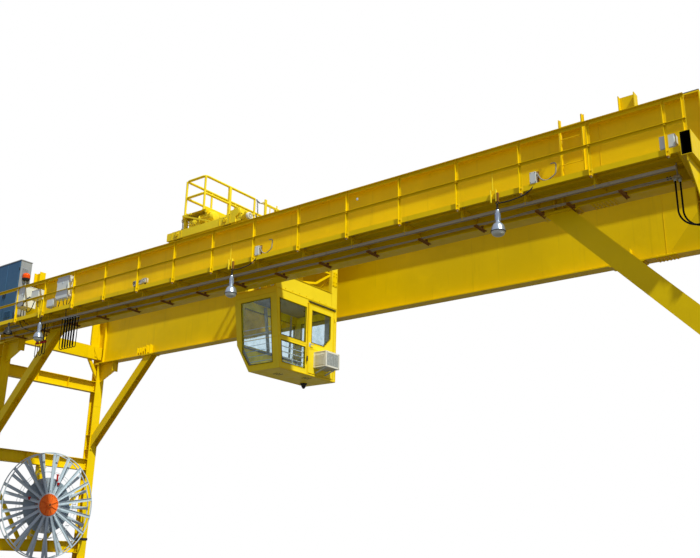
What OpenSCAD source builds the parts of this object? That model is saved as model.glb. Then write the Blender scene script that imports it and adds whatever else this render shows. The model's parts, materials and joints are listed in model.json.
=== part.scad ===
// Double-girder gantry crane with a travelling trolley, an operator's cab and a cable reel.
// Millimetres, +Z up, +X along the girders, origin on the ground at the centre of the crane.

/* [Gantry] */
// Distance between the leg centres, along the girders
span = 23740; // [21400:20:26000]
// Distance between the centres of the two girders
girder_spacing = 4000; // [3900:20:4300]
// Height of the girders' undersides
girder_z = 8870; // [8400:10:10000]

/* [Girders] */
// Depth of each girder over its flanges
girder_h = 1880; // [1700:10:2100]
// Width of the girder flanges
girder_w = 360; // [320:10:400]
// Thickness of the girder flanges
girder_flange_t = 30; // [20:1:40]
// Thickness of the girder webs
girder_web_t = 14; // [10:1:20]
// How far the girders run past the leg centres
girder_overrun = 140; // [120:10:200]
// Height of the rail that the trolley runs on
rail_h = 108; // [80:2:130]
// Width of the rail's foot
rail_w = 108; // [80:2:130]
// Length along the girder of the trolley's end stops
stop_l = 350; // [280:10:450]
// Height of the trolley's end stops
stop_h = 430; // [380:10:600]
// Place of the right end stops, from the middle of the span
stop_right_x = 10530; // [9500:10:10600]
// Place of the left end stops, from the middle of the span
stop_left_x = 10350; // [9500:10:10600]

/* [Leg frames] */
// Depth of the legs along the girders
leg_h = 300; // [260:10:360]
// Width of the leg flanges
leg_w = 340; // [300:10:380]
// Thickness of the leg flanges
leg_flange_t = 22; // [15:1:30]
// Thickness of the leg webs
leg_web_t = 14; // [10:1:20]
// Height of the sill beams' tops
sill_top = 1700; // [1600:10:1760]
// Depth of the sill beams
sill_h = 500; // [400:10:520]
// Length of the sill beams
sill_l = 6200; // [6000:50:6800]
// Wall thickness of the sill beams
sill_t = 16; // [10:1:24]
// Height of the underside of the base ties
base_tie_z = 1950; // [1900:10:2100]
// Depth of the base ties
base_tie_h = 390; // [340:10:460]
// Height of the underside of the lower cross ties
low_tie_z = 4860; // [4500:20:5200]
// Depth of the lower cross ties
low_tie_h = 410; // [340:10:460]
// Height of the underside of the upper cross ties
high_tie_z = 7760; // [7400:20:7900]
// Depth of the upper cross ties
high_tie_h = 410; // [360:10:460]
// Height at which the knee braces meet the legs
knee_leg_z = 5890; // [5500:10:6300]
// Reach of the knee braces along the girders, from the leg flanges
knee_reach = 2815; // [2500:5:3000]
// Depth of the right knee braces
knee_right_h = 440; // [380:10:480]
// Depth of the left knee braces
knee_left_h = 300; // [260:10:360]
// Width of the knee braces across the girders
knee_w = 260; // [200:10:300]
// Reach of the haunch plates under the girders
haunch_l = 800; // [650:10:850]
// Height of the haunch plates
haunch_h = 720; // [600:10:760]

/* [Ground travel] */
// Diameter of the ground wheels over their flanges
wheel_d = 660; // [600:10:700]
// Height of the wheel flanges over the tread
wheel_flange = 25; // [20:1:30]
// Width of the wheel tread
wheel_tread_w = 90; // [70:5:120]
// Distance between the two wheels of a truck
truck_base = 900; // [860:10:1100]
// Place of the trucks along the sill, from its middle
truck_y = 2600; // [2300:50:2800]
// Length of the rubber buffers
buffer_l = 150; // [100:10:200]

/* [Walkway] */
// Width of the walkway beside the girder
walkway_w = 820; // [780:5:880]
// Height of the walkway deck over the girder's underside
walkway_z = 380; // [340:5:440]
// Thickness of the walkway deck
deck_t = 10; // [6:1:14]
// Depth of the walkway's edge channel
edge_h = 120; // [100:5:140]
// Height of the handrail over the walkway deck
handrail_h = 1040; // [1000:10:1200]
// Distance between the handrail posts
post_pitch = 1524; // [1300:2:1800]
// Leg of the angle that the posts are made of
post_w = 55; // [45:5:65]
// Leg of the angle that the top rail is made of
top_rail_w = 75; // [60:5:90]
// Thickness of the handrail angles
angle_t = 8; // [6:1:10]

/* [Trolley] */
// Place of the trolley's middle, from the middle of the span
trolley_x = -1600; // [-3000:10:3000]
// Length of the trolley, with the frame that the cab hangs from
trolley_l = 4120; // [4000:20:4400]
// Length of the trolley's side beams
side_beam_l = 2860; // [2800:20:3000]
// Diameter of the trolley wheels
trolley_wheel_d = 320; // [280:10:340]
// Depth of the trolley's side beams
side_beam_h = 240; // [220:10:280]
// Width of the trolley's side beams
side_beam_w = 260; // [220:10:280]
// Diameter of the hoist drum
drum_d = 620; // [560:10:660]
// Height of the middle of the hook over the ground, hook raised
hook_z = 9760; // [9500:10:9800]
// Height of the platform at the trolley's left end, over the trolley's beams
platform_h = 480; // [420:10:520]
// Height of the trolley's handrail over its platform
trolley_rail_h = 1110; // [1000:10:1200]
// Diameter of the trolley's handrail tubes
tube_d = 48; // [40:1:52]

/* [Cab] */
// Height of the cab floor
cab_z = 6680; // [6600:10:6800]
// Height of the cab from floor to roof
cab_h = 2220; // [2180:10:2300]
// Length of the cab roof along the girders
cab_l = 1580; // [1500:10:1650]
// Width of the cab across the girders, at its floor
cab_w = 2440; // [2380:10:2500]
// Thickness of the cab walls
cab_wall = 50; // [30:5:70]
// Width of the cab door
door_w = 1150; // [1100:10:1200]
// Height of the cab door
door_h = 2040; // [1950:10:2060]
// Gap round the cab door
door_gap = 10; // [8:1:15]

/* [Cable reel] */
// Diameter of the cable reel
reel_d = 3560; // [3300:20:3700]
// Height of the reel's shaft
reel_z = 3480; // [3400:10:3560]
// Width of the reel over its two layers of spokes
reel_w = 240; // [180:10:300]
// Number of spokes in each layer
spoke_n = 18; // [12:1:20]
// Diameter of the reel's hub disc
hub_d = 740; // [600:10:800]

/* [Hidden] */
$fn = 48;

leg_x = span / 2;
girder_y = girder_spacing / 2;
girder_l = span + 2 * girder_overrun;
girder_top = girder_z + girder_h;
rail_top = girder_top + rail_h;
yellow = "gold";
steel = "silver";

// I-section, depth along Y
module i_section(h, w, flange_t, web_t) {
    for (side = [-1, 1])
        translate([-w / 2, side > 0 ? h / 2 - flange_t : -h / 2]) square([w, flange_t]);
    translate([-web_t / 2, -h / 2]) square([web_t, h]);
}

// Prism along X from a section drawn in Y and Z
module along_x(x0, x1) {
    translate([x0, 0, 0]) rotate([90, 0, 90]) linear_extrude(x1 - x0) children();
}

// Prism along Y from a section drawn in X and Z
module along_y(y0, y1) {
    translate([0, y1, 0]) rotate([90, 0, 0]) linear_extrude(y1 - y0) children();
}

// Rod along X
module rod_x(x0, x1, d) {
    translate([x0, 0, 0]) rotate([0, 90, 0]) cylinder(h = x1 - x0, d = d);
}

// Rod along Y
module rod_y(y0, y1, d) {
    translate([0, y1, 0]) rotate([90, 0, 0]) cylinder(h = y1 - y0, d = d);
}

module girder() {
    end_plate_t = 20;
    color(yellow) {
        translate([0, 0, girder_z + girder_h / 2])
            along_x(-girder_l / 2 + end_plate_t, girder_l / 2 - end_plate_t)
                i_section(girder_h, girder_w, girder_flange_t, girder_web_t);
        for (side = [-1, 1])
            translate([side * (girder_l / 2 - end_plate_t / 2) - end_plate_t / 2, -girder_w / 2, girder_z])
                cube([end_plate_t, girder_w, girder_h]);
    }
}

module near_girder() {
    translate([0, -girder_y, 0]) girder();
}

module far_girder() {
    translate([0, girder_y, 0]) girder();
}

// Rectangular tubes that tie the girder ends together over the legs
end_tie_w = 210;
end_tie_h = 490;
end_tie_t = 10;
end_tie_z = girder_z + 150;
walkway_y = -girder_y - girder_w / 2 - walkway_w;

module end_tie_section() {
    difference() {
        translate([-end_tie_w / 2, 0]) square([end_tie_w, end_tie_h]);
        translate([-end_tie_w / 2 + end_tie_t, end_tie_t])
            square([end_tie_w - 2 * end_tie_t, end_tie_h - 2 * end_tie_t]);
    }
}

module girder_end_ties() {
    inner_y = girder_y - girder_web_t / 2;
    color(yellow)
        for (side = [-1, 1])
            translate([side * leg_x, 0, end_tie_z]) along_y(-inner_y, inner_y) end_tie_section();
    // Outrigger past the near girder, which carries the walkway's end
    color(yellow)
        translate([leg_x, 0, end_tie_z])
            along_y(walkway_y - post_w, -girder_y - girder_web_t / 2) end_tie_section();
}

leg_base_t = 30;
leg_base_w = leg_w + 100;

module leg() {
    color(yellow) {
        translate([0, 0, sill_top + leg_base_t])
            linear_extrude(girder_z - sill_top - 2 * leg_base_t)
                rotate(90) i_section(leg_h, leg_w, leg_flange_t, leg_web_t);
        translate([-leg_h / 2, -leg_base_w / 2, sill_top]) cube([leg_h, leg_base_w, leg_base_t]);
        translate([-leg_h / 2, -leg_w / 2 - 20, girder_z - leg_base_t])
            cube([leg_h, leg_w + 40, leg_base_t]);
    }
}

module legs(side) {
    for (y = [-girder_y, girder_y])
        translate([side * leg_x, y, 0]) leg();
}

module left_legs() {
    legs(-1);
}

module right_legs() {
    legs(1);
}

tie_flange_t = 20;
tie_web_t = 12;
tie_w = leg_h - 2 * leg_flange_t - 6;
cope_gap = 5;

module cross_ties(side) {
    tie_y = girder_y - leg_web_t / 2;
    color(yellow)
        for (tie = [[base_tie_z, base_tie_h], [low_tie_z, low_tie_h], [high_tie_z, high_tie_h]])
            translate([side * leg_x, 0, tie[0] + tie[1] / 2])
                along_y(-tie_y, tie_y) i_section(tie[1], tie_w, tie_flange_t, tie_web_t);
}

module left_cross_ties() {
    cross_ties(-1);
}

module right_cross_ties() {
    cross_ties(1);
}

sill_w = 460;

module sill(side) {
    color(yellow)
        translate([side * leg_x, 0, sill_top - sill_h])
            difference() {
                translate([-sill_w / 2, -sill_l / 2, 0]) cube([sill_w, sill_l, sill_h]);
                translate([-sill_w / 2 + sill_t, -sill_l / 2 + sill_t, sill_t])
                    cube([sill_w - 2 * sill_t, sill_l - 2 * sill_t, sill_h - 2 * sill_t]);
            }
}

module left_sill() {
    sill(-1);
}

module right_sill() {
    sill(1);
}

// Diagonal braces of the leg frames: a pair from the base tie up to the lower tie,
// small ones between the girder end tubes and the legs, and a gusset under the outrigger
base_tie_top = base_tie_z + base_tie_h;
brace_w = 120;
brace_t = 90;
corner_brace_y = 490;
corner_brace_z = 760;

// Bar of square section between two points of a plane x = constant
module bar_yz(a, b, w, t) {
    run = b - a;
    length = norm(run);
    angle = atan2(run[1], run[0]);
    translate([0, a[0], a[1]]) rotate([angle, 0, 0])
        translate([-t / 2, -w, -w / 2]) cube([t, length + 2 * w, w]);
}

module clip_yz(side, y0, y1, z0, z1) {
    intersection() {
        translate([side * leg_x - leg_h, y0, z0]) cube([2 * leg_h, y1 - y0, z1 - z0]);
        translate([side * leg_x, 0, 0]) children();
    }
}

module leg_braces() {
    inner_y = girder_y - leg_web_t / 2;
    low_y = 500;
    color(yellow)
        for (side = [-1, 1], end = [-1, 1]) {
            clip_yz(side, -inner_y, inner_y, base_tie_top, low_tie_z)
                bar_yz([end * low_y, base_tie_top], [end * inner_y, low_tie_z - 300], brace_w, brace_t);
            clip_yz(side, -inner_y, inner_y, high_tie_z + high_tie_h, end_tie_z)
                bar_yz([end * (inner_y - corner_brace_y), end_tie_z],
                       [end * inner_y, end_tie_z - corner_brace_z], brace_w, brace_t);
        }
    gusset_t = 20;
    gusset_out_y = walkway_y - 40;
    gusset_foot_z = 7950;
    gusset_out_z = 8900;
    leg_head_z = girder_z - leg_base_t;
    color(yellow)
        translate([leg_x - gusset_t / 2, 0, 0])
            along_x(0, gusset_t)
                polygon([[-girder_y - leg_web_t / 2, gusset_foot_z], [-girder_y - leg_web_t / 2, leg_head_z],
                         [girder_edge_y - 25, leg_head_z], [girder_edge_y - 25, end_tie_z],
                         [gusset_out_y, end_tie_z], [gusset_out_y, gusset_out_z]]);
}

// Knee brace for the near right leg, in the plane y = 0 with the leg centre at x = 0
knee_plate_t = 20;

module knee_brace(depth) {
    foot_x = -leg_h / 2;
    head_x = foot_x - knee_reach;
    head_z = girder_z - knee_plate_t;
    length = norm([knee_reach, head_z - knee_leg_z]);
    tilt = atan2(head_z - knee_leg_z, knee_reach);
    color(yellow) {
        intersection() {
            translate([head_x - depth, -knee_w / 2, knee_leg_z - 2 * depth])
                cube([knee_reach + depth - knee_plate_t, knee_w, head_z - knee_leg_z + 2 * depth]);
            translate([foot_x, 0, knee_leg_z]) rotate([0, tilt, 0])
                along_x(-length - depth, depth)
                    rotate(90) i_section(knee_w, depth, knee_plate_t, leg_web_t);
        }
        translate([head_x - depth, -girder_w / 2, head_z])
            cube([2 * depth, girder_w, knee_plate_t]);
        translate([foot_x - knee_plate_t, -knee_w / 2, knee_leg_z - depth])
            cube([knee_plate_t, knee_w, 2 * depth]);
    }
}

module knee_braces() {
    for (side = [-1, 1], y = [-girder_y, girder_y])
        translate([side * leg_x, y, 0])
            mirror([side > 0 ? 0 : 1, 0, 0]) knee_brace(side > 0 ? knee_right_h : knee_left_h);
}

// Haunch plates on the inner side of the left legs
haunch_t = 25;
haunch_lip_w = 260;
haunch_lip_part = 0.51;

module haunch_plate() {
    lip_z = girder_z - haunch_h * haunch_lip_part;
    foot_x = -leg_h / 2;
    color(yellow) {
        along_y(-haunch_t / 2, haunch_t / 2)
            polygon([[foot_x, girder_z - haunch_h], [foot_x, girder_z],
                     [foot_x - haunch_l, girder_z], [foot_x - haunch_l, lip_z]]);
        translate([foot_x - haunch_l - haunch_t, -haunch_lip_w / 2, lip_z])
            cube([haunch_t, haunch_lip_w, girder_z - lip_z]);
    }
}

module haunch_plates() {
    for (y = [-girder_y, girder_y])
        translate([-leg_x, y, 0]) mirror([1, 0, 0]) haunch_plate();
}

// Two-wheel trucks under the sill ends
truck_side_t = 20;
truck_w = wheel_tread_w + 2 * 30 + 2 * 15;
truck_top = 1060;
truck_low = 260;
truck_l = truck_base + wheel_d + 120;
saddle_w = 360;
saddle_l = 900;
axle_d = 110;
axle_fit = 0.6;
axle_end = 25;
wheel_r = wheel_d / 2;
sill_bottom = sill_top - sill_h;

module truck() {
    color(yellow) {
        difference() {
            translate([-truck_w / 2 - truck_side_t, -truck_l / 2, truck_low])
                cube([truck_w + 2 * truck_side_t, truck_l, truck_top - truck_low]);
            translate([-truck_w / 2, -truck_l / 2 + truck_side_t, truck_low - 1])
                cube([truck_w, truck_l - 2 * truck_side_t, truck_top - truck_low - truck_side_t + 1]);
            for (end = [-1, 1])
                translate([0, end * truck_base / 2, wheel_r])
                    rod_x(-truck_w, truck_w, axle_d + axle_fit);
        }
        translate([-saddle_w / 2, -saddle_l / 2, truck_top])
            cube([saddle_w, saddle_l, sill_bottom - truck_top]);
    }
}

module end_trucks() {
    for (side = [-1, 1], end = [-1, 1])
        translate([side * leg_x, end * truck_y, 0]) truck();
}

module truck_wheel() {
    tread_r = wheel_r - wheel_flange;
    half_w = wheel_tread_w / 2;
    flange_t = 30;
    color("dimgray")
        rotate([0, 90, 0])
            rotate_extrude($fn = 64)
                polygon([[0, -half_w - flange_t], [wheel_r, -half_w - flange_t],
                         [wheel_r, -half_w - flange_t / 2], [tread_r, -half_w], [tread_r, half_w],
                         [wheel_r, half_w + flange_t / 2], [wheel_r, half_w + flange_t],
                         [0, half_w + flange_t]]);
    color("dimgray")
        rod_x(-truck_w / 2 - truck_side_t - axle_end, truck_w / 2 + truck_side_t + axle_end, axle_d);
}

module truck_wheels() {
    for (side = [-1, 1], end = [-1, 1], wheel = [-1, 1])
        translate([side * leg_x, end * truck_y + wheel * truck_base / 2, wheel_r]) truck_wheel();
}

// A gear motor on the inner side of each truck, on the axle nearer the middle
module travel_drive() {
    face_x = truck_w / 2 + truck_side_t;
    gearbox_w = 200;
    gearbox_low = 160;
    gearbox_h = 460;
    motor_d = 190;
    motor_h = 300;
    color("gray") {
        difference() {
            translate([face_x, -150, wheel_r - gearbox_low]) cube([gearbox_w, 300, gearbox_h]);
            translate([0, 0, wheel_r]) rod_x(0, face_x + axle_end + axle_fit, axle_d + axle_fit);
        }
        translate([face_x + gearbox_w / 2, 0, wheel_r - gearbox_low + gearbox_h])
            cylinder(h = motor_h, d = motor_d);
    }
}

module travel_drives() {
    for (side = [-1, 1], end = [-1, 1])
        translate([side * leg_x, end * (truck_y - truck_base / 2), 0])
            mirror([side > 0 ? 1 : 0, 0, 0]) travel_drive();
}

buffer_d = 160;
buffer_z = 520;

module truck_buffers() {
    end_y = truck_y + truck_l / 2;
    color("black")
        for (side = [-1, 1], end = [-1, 1])
            translate([side * leg_x, 0, buffer_z])
                rod_y(end > 0 ? end_y : -end_y - buffer_l, end > 0 ? end_y + buffer_l : -end_y, buffer_d);
}

rail_head_w = rail_w * 0.56;

module trolley_rails() {
    head_h = rail_h * 0.3;
    foot_h = rail_h * 0.18;
    web_w = rail_w * 0.14;
    end_gap = 40;
    color(steel)
        for (y = [-girder_y, girder_y])
            translate([0, y, girder_top])
                along_x(-girder_l / 2 + end_gap, girder_l / 2 - end_gap) {
                    translate([-rail_w / 2, 0]) square([rail_w, foot_h]);
                    translate([-web_w / 2, 0]) square([web_w, rail_h]);
                    translate([-rail_head_w / 2, rail_h - head_h]) square([rail_head_w, head_h]);
                }
}

// I-section stubs that stand astride the rail
stop_w = 220;
stop_flange_t = 18;
stop_web_t = 12;

module trolley_stop() {
    color(yellow)
        difference() {
            translate([0, 0, girder_top])
                linear_extrude(stop_h) rotate(90) i_section(stop_l, stop_w, stop_flange_t, stop_web_t);
            translate([-stop_l, -rail_w / 2 - cope_gap, girder_top - 1])
                cube([2 * stop_l, rail_w + 2 * cope_gap, rail_h + cope_gap + 1]);
        }
}

module trolley_stops() {
    for (y = [-girder_y, girder_y]) {
        translate([stop_right_x, y, 0]) trolley_stop();
        translate([-stop_left_x, y, 0]) trolley_stop();
    }
}

// Walkway along the outside of the near girder
deck_z = girder_z + walkway_z;
girder_edge_y = -girder_y - girder_w / 2;
web_face_y = -girder_y - girder_web_t / 2;
walkway_x0 = -girder_l / 2 + 25;
walkway_x1 = leg_x - end_tie_w / 2 - 10;

module walkway_deck() {
    color(yellow) {
        translate([walkway_x0, walkway_y, deck_z - deck_t])
            cube([walkway_x1 - walkway_x0, web_face_y - walkway_y, deck_t]);
        translate([walkway_x0, walkway_y, deck_z - edge_h])
            cube([walkway_x1 - walkway_x0, deck_t, edge_h]);
        translate([walkway_x0, walkway_y, deck_z - edge_h])
            cube([walkway_x1 - walkway_x0, 45, deck_t]);
    }
}

post_first_x = leg_x - 1900;
post_xs = [for (x = post_first_x; x > walkway_x0 + 400; x = x - post_pitch) x];
bracket_h = edge_h - deck_t;
bracket_w = 70;

module walkway_brackets() {
    color(yellow)
        for (x = post_xs)
            translate([x - bracket_w / 2, walkway_y + deck_t, deck_z - deck_t - bracket_h])
                difference() {
                    translate([0, 40, 0]) cube([bracket_w, web_face_y - walkway_y - deck_t - 40, bracket_h]);
                    translate([angle_t, 0, -1]) cube([bracket_w, 2000, bracket_h - angle_t + 1]);
                }
}

// Angle section with its corner at the origin
module angle_section(w, t) {
    square([w, t]);
    square([t, w]);
}

rail_y = walkway_y - post_w;
end_post_xs = [leg_x - 380, walkway_x0 + 150];
tube_post_x = leg_x - 10;

module walkway_handrail() {
    foot_z = deck_z - edge_h - 40;
    top_z = deck_z + handrail_h;
    mid_z = deck_z + handrail_h / 2;
    color(yellow) {
        for (x = concat(post_xs, end_post_xs))
            translate([x, walkway_y, foot_z])
                linear_extrude(top_z - foot_z)
                    mirror([0, 1, 0]) angle_section(post_w, angle_t);
        translate([tube_post_x, walkway_y, end_tie_z + end_tie_h])
            linear_extrude(top_z - end_tie_z - end_tie_h)
                mirror([0, 1, 0]) angle_section(post_w, angle_t);
        translate([0, walkway_y - angle_t, top_z])
            along_x(walkway_x0 + 150, tube_post_x + post_w)
                mirror([1, 0]) mirror([0, 1]) angle_section(top_rail_w, angle_t);
        translate([0, walkway_y - angle_t, mid_z])
            along_x(walkway_x0 + 150, tube_post_x + post_w)
                mirror([1, 0]) mirror([0, 1]) angle_section(post_w, angle_t);
    }
}

// Ladder from the walkway to the girder's top
ladder_x = leg_x - 2520;
ladder_w = 500;
ladder_top = 170;
rung_pitch = 300;

module girder_ladder() {
    stringer_w = 60;
    stringer_t = 12;
    ladder_y = girder_edge_y - stringer_w - 60;
    color(yellow) {
        for (side = [-1, 1])
            translate([ladder_x + side * (ladder_w / 2 - stringer_t / 2) - stringer_t / 2, ladder_y, deck_z])
                cube([stringer_t, stringer_w, girder_top + ladder_top - deck_z]);
        for (z = [deck_z + rung_pitch : rung_pitch : girder_top + ladder_top - 50])
            translate([0, ladder_y + stringer_w / 2, z])
                rod_x(ladder_x - ladder_w / 2 + 1, ladder_x + ladder_w / 2 - 1, 22);
        for (side = [-1, 1], z = [deck_z + 250, girder_top - girder_flange_t / 2])
            translate([ladder_x + side * (ladder_w / 2 - stringer_t / 2) - stringer_t / 2,
                       ladder_y + stringer_w - 1, z - 10])
                cube([stringer_t, (z > girder_top - 100 ? girder_edge_y : web_face_y) - ladder_y - stringer_w + 1, 20]);
    }
}

cabinet_w = 1460;
cabinet_h = 2260;
cabinet_d = 430;

module electrical_cabinet() {
    color("slategray")
        translate([walkway_x0, girder_edge_y - cabinet_d - 65, deck_z])
            cube([cabinet_w, cabinet_d, cabinet_h]);
}

// Boxes on the handrail: place along the crane, height of the underside, width, depth, height,
// and how far the back stands outside the posts, against the middle rail
box_list = [
    [leg_x - 3120, deck_z, 130, 90, 260, 0],
    [leg_x - 10910, deck_z, 130, 90, 260, 0],
    [-leg_x + 4470, deck_z + 240, 600, 140, 720, angle_t],
    [-leg_x + 2130, deck_z + 360, 500, 440, 680, 0]
];

module control_boxes() {
    color("gainsboro")
        for (b = box_list)
            translate([b[0] - b[2] / 2, walkway_y - b[5], b[1]]) cube([b[2], b[3], b[4]]);
}

lamp_xs = [-leg_x + 3520, leg_x - 11740, leg_x - 3950];
lamp_d = 320;
lamp_drop = 890;

module pendant_lamps() {
    lamp_y = walkway_y - 30;
    reflector_z = deck_z - edge_h - lamp_drop;
    neck_z = reflector_z + 540;
    color(steel)
        for (x = lamp_xs)
            translate([x, lamp_y, 0]) {
                translate([0, 0, reflector_z])
                    rotate_extrude($fn = 48)
                        polygon([[0, 0], [lamp_d / 3, 20], [lamp_d / 2, 90], [lamp_d / 2, 150],
                                 [lamp_d / 4, 290], [65, 320], [65, 550], [0, 550]]);
                translate([0, 0, neck_z]) cylinder(h = lamp_drop - 540 - 80, d = 40);
                translate([-30, 0, deck_z - edge_h - 100]) cube([60, 30, 100 + edge_h]);
            }
}

track_y = walkway_y + 250;
track_z = deck_z - edge_h - 190;

module festoon_track() {
    color("gray") {
        translate([0, track_y, track_z]) along_x(walkway_x0 + 300, leg_x - 300) {
            difference() {
                square([63, 63], center = true);
                square([53, 53], center = true);
                translate([-8, -40]) square([16, 30]);
            }
        }
        for (x = post_xs)
            translate([x - 20, track_y - 20, track_z + 31])
                cube([40, 40, deck_z - deck_t - angle_t - track_z - 31]);
    }
}

loop_n = 6;
loop_pitch = 130;
loop_r = 60;
loop_drop = 930;
loop_x = -leg_x + 4380;

module festoon_cables() {
    cable_d = 34;
    color("black")
        for (i = [0 : loop_n - 1])
            translate([loop_x + i * loop_pitch, track_y, track_z - 32 - loop_drop])
                rotate([90, 0, 90]) {
                    rotate_extrude(angle = -180) translate([loop_r, 0]) circle(d = cable_d, $fn = 16);
                    for (side = [-1, 1])
                        translate([side * loop_r, 0, 0]) rotate([-90, 0, 0]) cylinder(h = loop_drop - 20, d = cable_d, $fn = 16);
                }
    color("gray")
        for (i = [0 : loop_n - 1])
            translate([loop_x + i * loop_pitch - 25, track_y - loop_r - 30, track_z - 32 - 24])
                cube([50, 2 * loop_r + 60, 24]);
}

supply_r = 380;
supply_d = 36;
supply_x = leg_x - 380;
supply_drop = 700;

// Two cables that hang from the track's end and turn into a box on the near right leg
module supply_cables() {
    box_w = 140;
    box_h = 320;
    box_front = 260;
    box_gap = 8;
    leg_face_y = -girder_y - leg_w / 2;
    bend_z = track_z - supply_drop;
    color("gray")
        translate([supply_x - 140, leg_face_y - 250, track_z - 60])
            cube([210, 180, deck_z - deck_t - track_z + 60]);
    color("black")
        for (i = [0, 1])
            translate([supply_x - i * 70, leg_face_y - 110 - i * 90, bend_z]) {
                cylinder(h = supply_drop - 50, d = supply_d, $fn = 24);
                translate([supply_r, 0, 0]) rotate([90, 0, 0])
                    rotate_extrude(angle = 90, $fn = 48)
                        translate([-supply_r, 0]) circle(d = supply_d, $fn = 24);
                translate([supply_r, 0, -supply_r]) rotate([0, 90, 0])
                    cylinder(h = i * 70 + box_gap, d = supply_d, $fn = 24);
            }
    color("gray")
        translate([supply_x + supply_r + box_gap, leg_face_y - box_front, bend_z - supply_r - box_h / 2])
            cube([box_w, box_front, box_h]);
}

// Post and bearing arm that carry the cable reel on the left leg frame
reel_x = -leg_x + 640;
reel_post_w = 240;
bearing_d = 260;
shaft_d = 90;
shaft_l = 200;

module reel_stand() {
    arm_x1 = reel_x - reel_w / 2 - 60;
    color(yellow) {
        translate([-leg_x - reel_post_w / 2, -reel_post_w / 2, base_tie_top])
            cube([reel_post_w, reel_post_w, low_tie_z - base_tie_top]);
        difference() {
            translate([0, 0, reel_z]) rod_x(-leg_x + reel_post_w / 2 - 10, arm_x1, bearing_d);
            translate([0, 0, reel_z]) rod_x(arm_x1 - shaft_l, arm_x1 + 1, shaft_d + axle_fit);
        }
    }
}

boss_d = 300;
running_gap = 5;
plate_t = 14;
rim_w = 26;
reel_plate_x = (reel_w - rim_w) / 2;

module reel_motor() {
    color("firebrick") {
        translate([reel_x - reel_w / 2 - 50 - 260, -150, reel_z + bearing_d / 2]) cube([220, 300, 260]);
        translate([reel_x - reel_w / 2 - 50 - 150, 0, reel_z + bearing_d / 2 + 250]) cylinder(h = 420, d = 200);
    }
}

module reel_wheel() {
    rim_t = 30;
    spoke_w = 70;
    spoke_t = 8;
    color(steel)
        translate([reel_x, 0, reel_z])
            for (layer = [-1, 1])
                translate([layer * reel_plate_x, 0, 0]) {
                    rotate([0, 90, 0])
                        difference() {
                            cylinder(h = rim_w, d = reel_d, center = true, $fn = 96);
                            cylinder(h = 2 * rim_w, d = reel_d - 2 * rim_t, center = true, $fn = 96);
                        }
                    rotate([0, 90, 0])
                        difference() {
                            cylinder(h = plate_t, d = hub_d + 100, center = true);
                            cylinder(h = 2 * plate_t, d = boss_d + axle_fit, center = true);
                        }
                    for (i = [0 : spoke_n - 1])
                        rotate([(i + (layer > 0 ? 0.5 : 0)) * 360 / spoke_n, 0, 0])
                            translate([-spoke_t / 2, hub_d / 2 - 20, -spoke_w / 2])
                                cube([spoke_t, reel_d / 2 - rim_t / 2 - hub_d / 2 + 20, spoke_w]);
                }
}

module reel_hub() {
    inner = reel_plate_x - plate_t / 2;
    outer = reel_plate_x + plate_t / 2;
    color("orangered")
        translate([reel_x, 0, reel_z]) {
            rod_x(-inner, inner, hub_d - 100);
            rod_x(-reel_w / 2 - 60 + running_gap, outer + 20, boss_d);
            rod_x(-reel_w / 2 - 60 - shaft_l + running_gap, 0, shaft_d);
            rod_x(outer, outer + 14, hub_d);
            rod_x(outer + 13, outer + 60, 150);
        }
}

// Trolley
trolley_x0 = trolley_x - trolley_l / 2;
trolley_x1 = trolley_x + trolley_l / 2;
beam_z = rail_top + 30;
trolley_deck_z = beam_z + side_beam_h;
inner_beam_y = girder_y - side_beam_w / 2;
side_beam_x1 = trolley_x0 + side_beam_l;
wheel_inset = 420;
trolley_wheel_xs = [trolley_x0 + wheel_inset, side_beam_x1 - wheel_inset];
wheel_lift = 0.3;
wheel_pocket = 30;
trolley_wheel_z = rail_top + trolley_wheel_d / 2 + wheel_lift;
drum_l = 2200;
drum_z = rail_top + 92;
pedestal_w = 120;
pedestal_y = drum_l / 2 + 120;
journal_d = 140;
cross_beam_w = 200;
cab_x1 = trolley_x1 - 60;
cross_xs = [trolley_x0 + 690, trolley_x0 + 1505, cab_x1 - cab_l + 170, cab_x1 - 50];
hoist_x = (cross_xs[1] + cross_xs[2]) / 2;
trolley_axle_d = 80;
platform_z = trolley_deck_z + platform_h;
platform_edge_h = 110;
platform_x0 = cross_xs[0] - cross_beam_w / 2;
platform_x1 = cross_xs[1] + cross_beam_w / 2;

// Platform on posts over the hoist's gearbox
module trolley_platform() {
    post = 90;
    edge_w = 60;
    half_l = inner_beam_y + side_beam_w - 30;
    translate([platform_x0, -half_l, platform_z - deck_t])
        cube([platform_x1 - platform_x0, 2 * half_l, deck_t]);
    for (x = [platform_x0, platform_x1 - edge_w])
        translate([x, -half_l, platform_z - platform_edge_h])
            cube([edge_w, 2 * half_l, platform_edge_h]);
    for (x = [platform_x0, platform_x1 - post], y = [-girder_y, girder_y])
        translate([x, y - post / 2, trolley_deck_z - 1]) cube([post, post, platform_h - deck_t + 2]);
}

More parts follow.
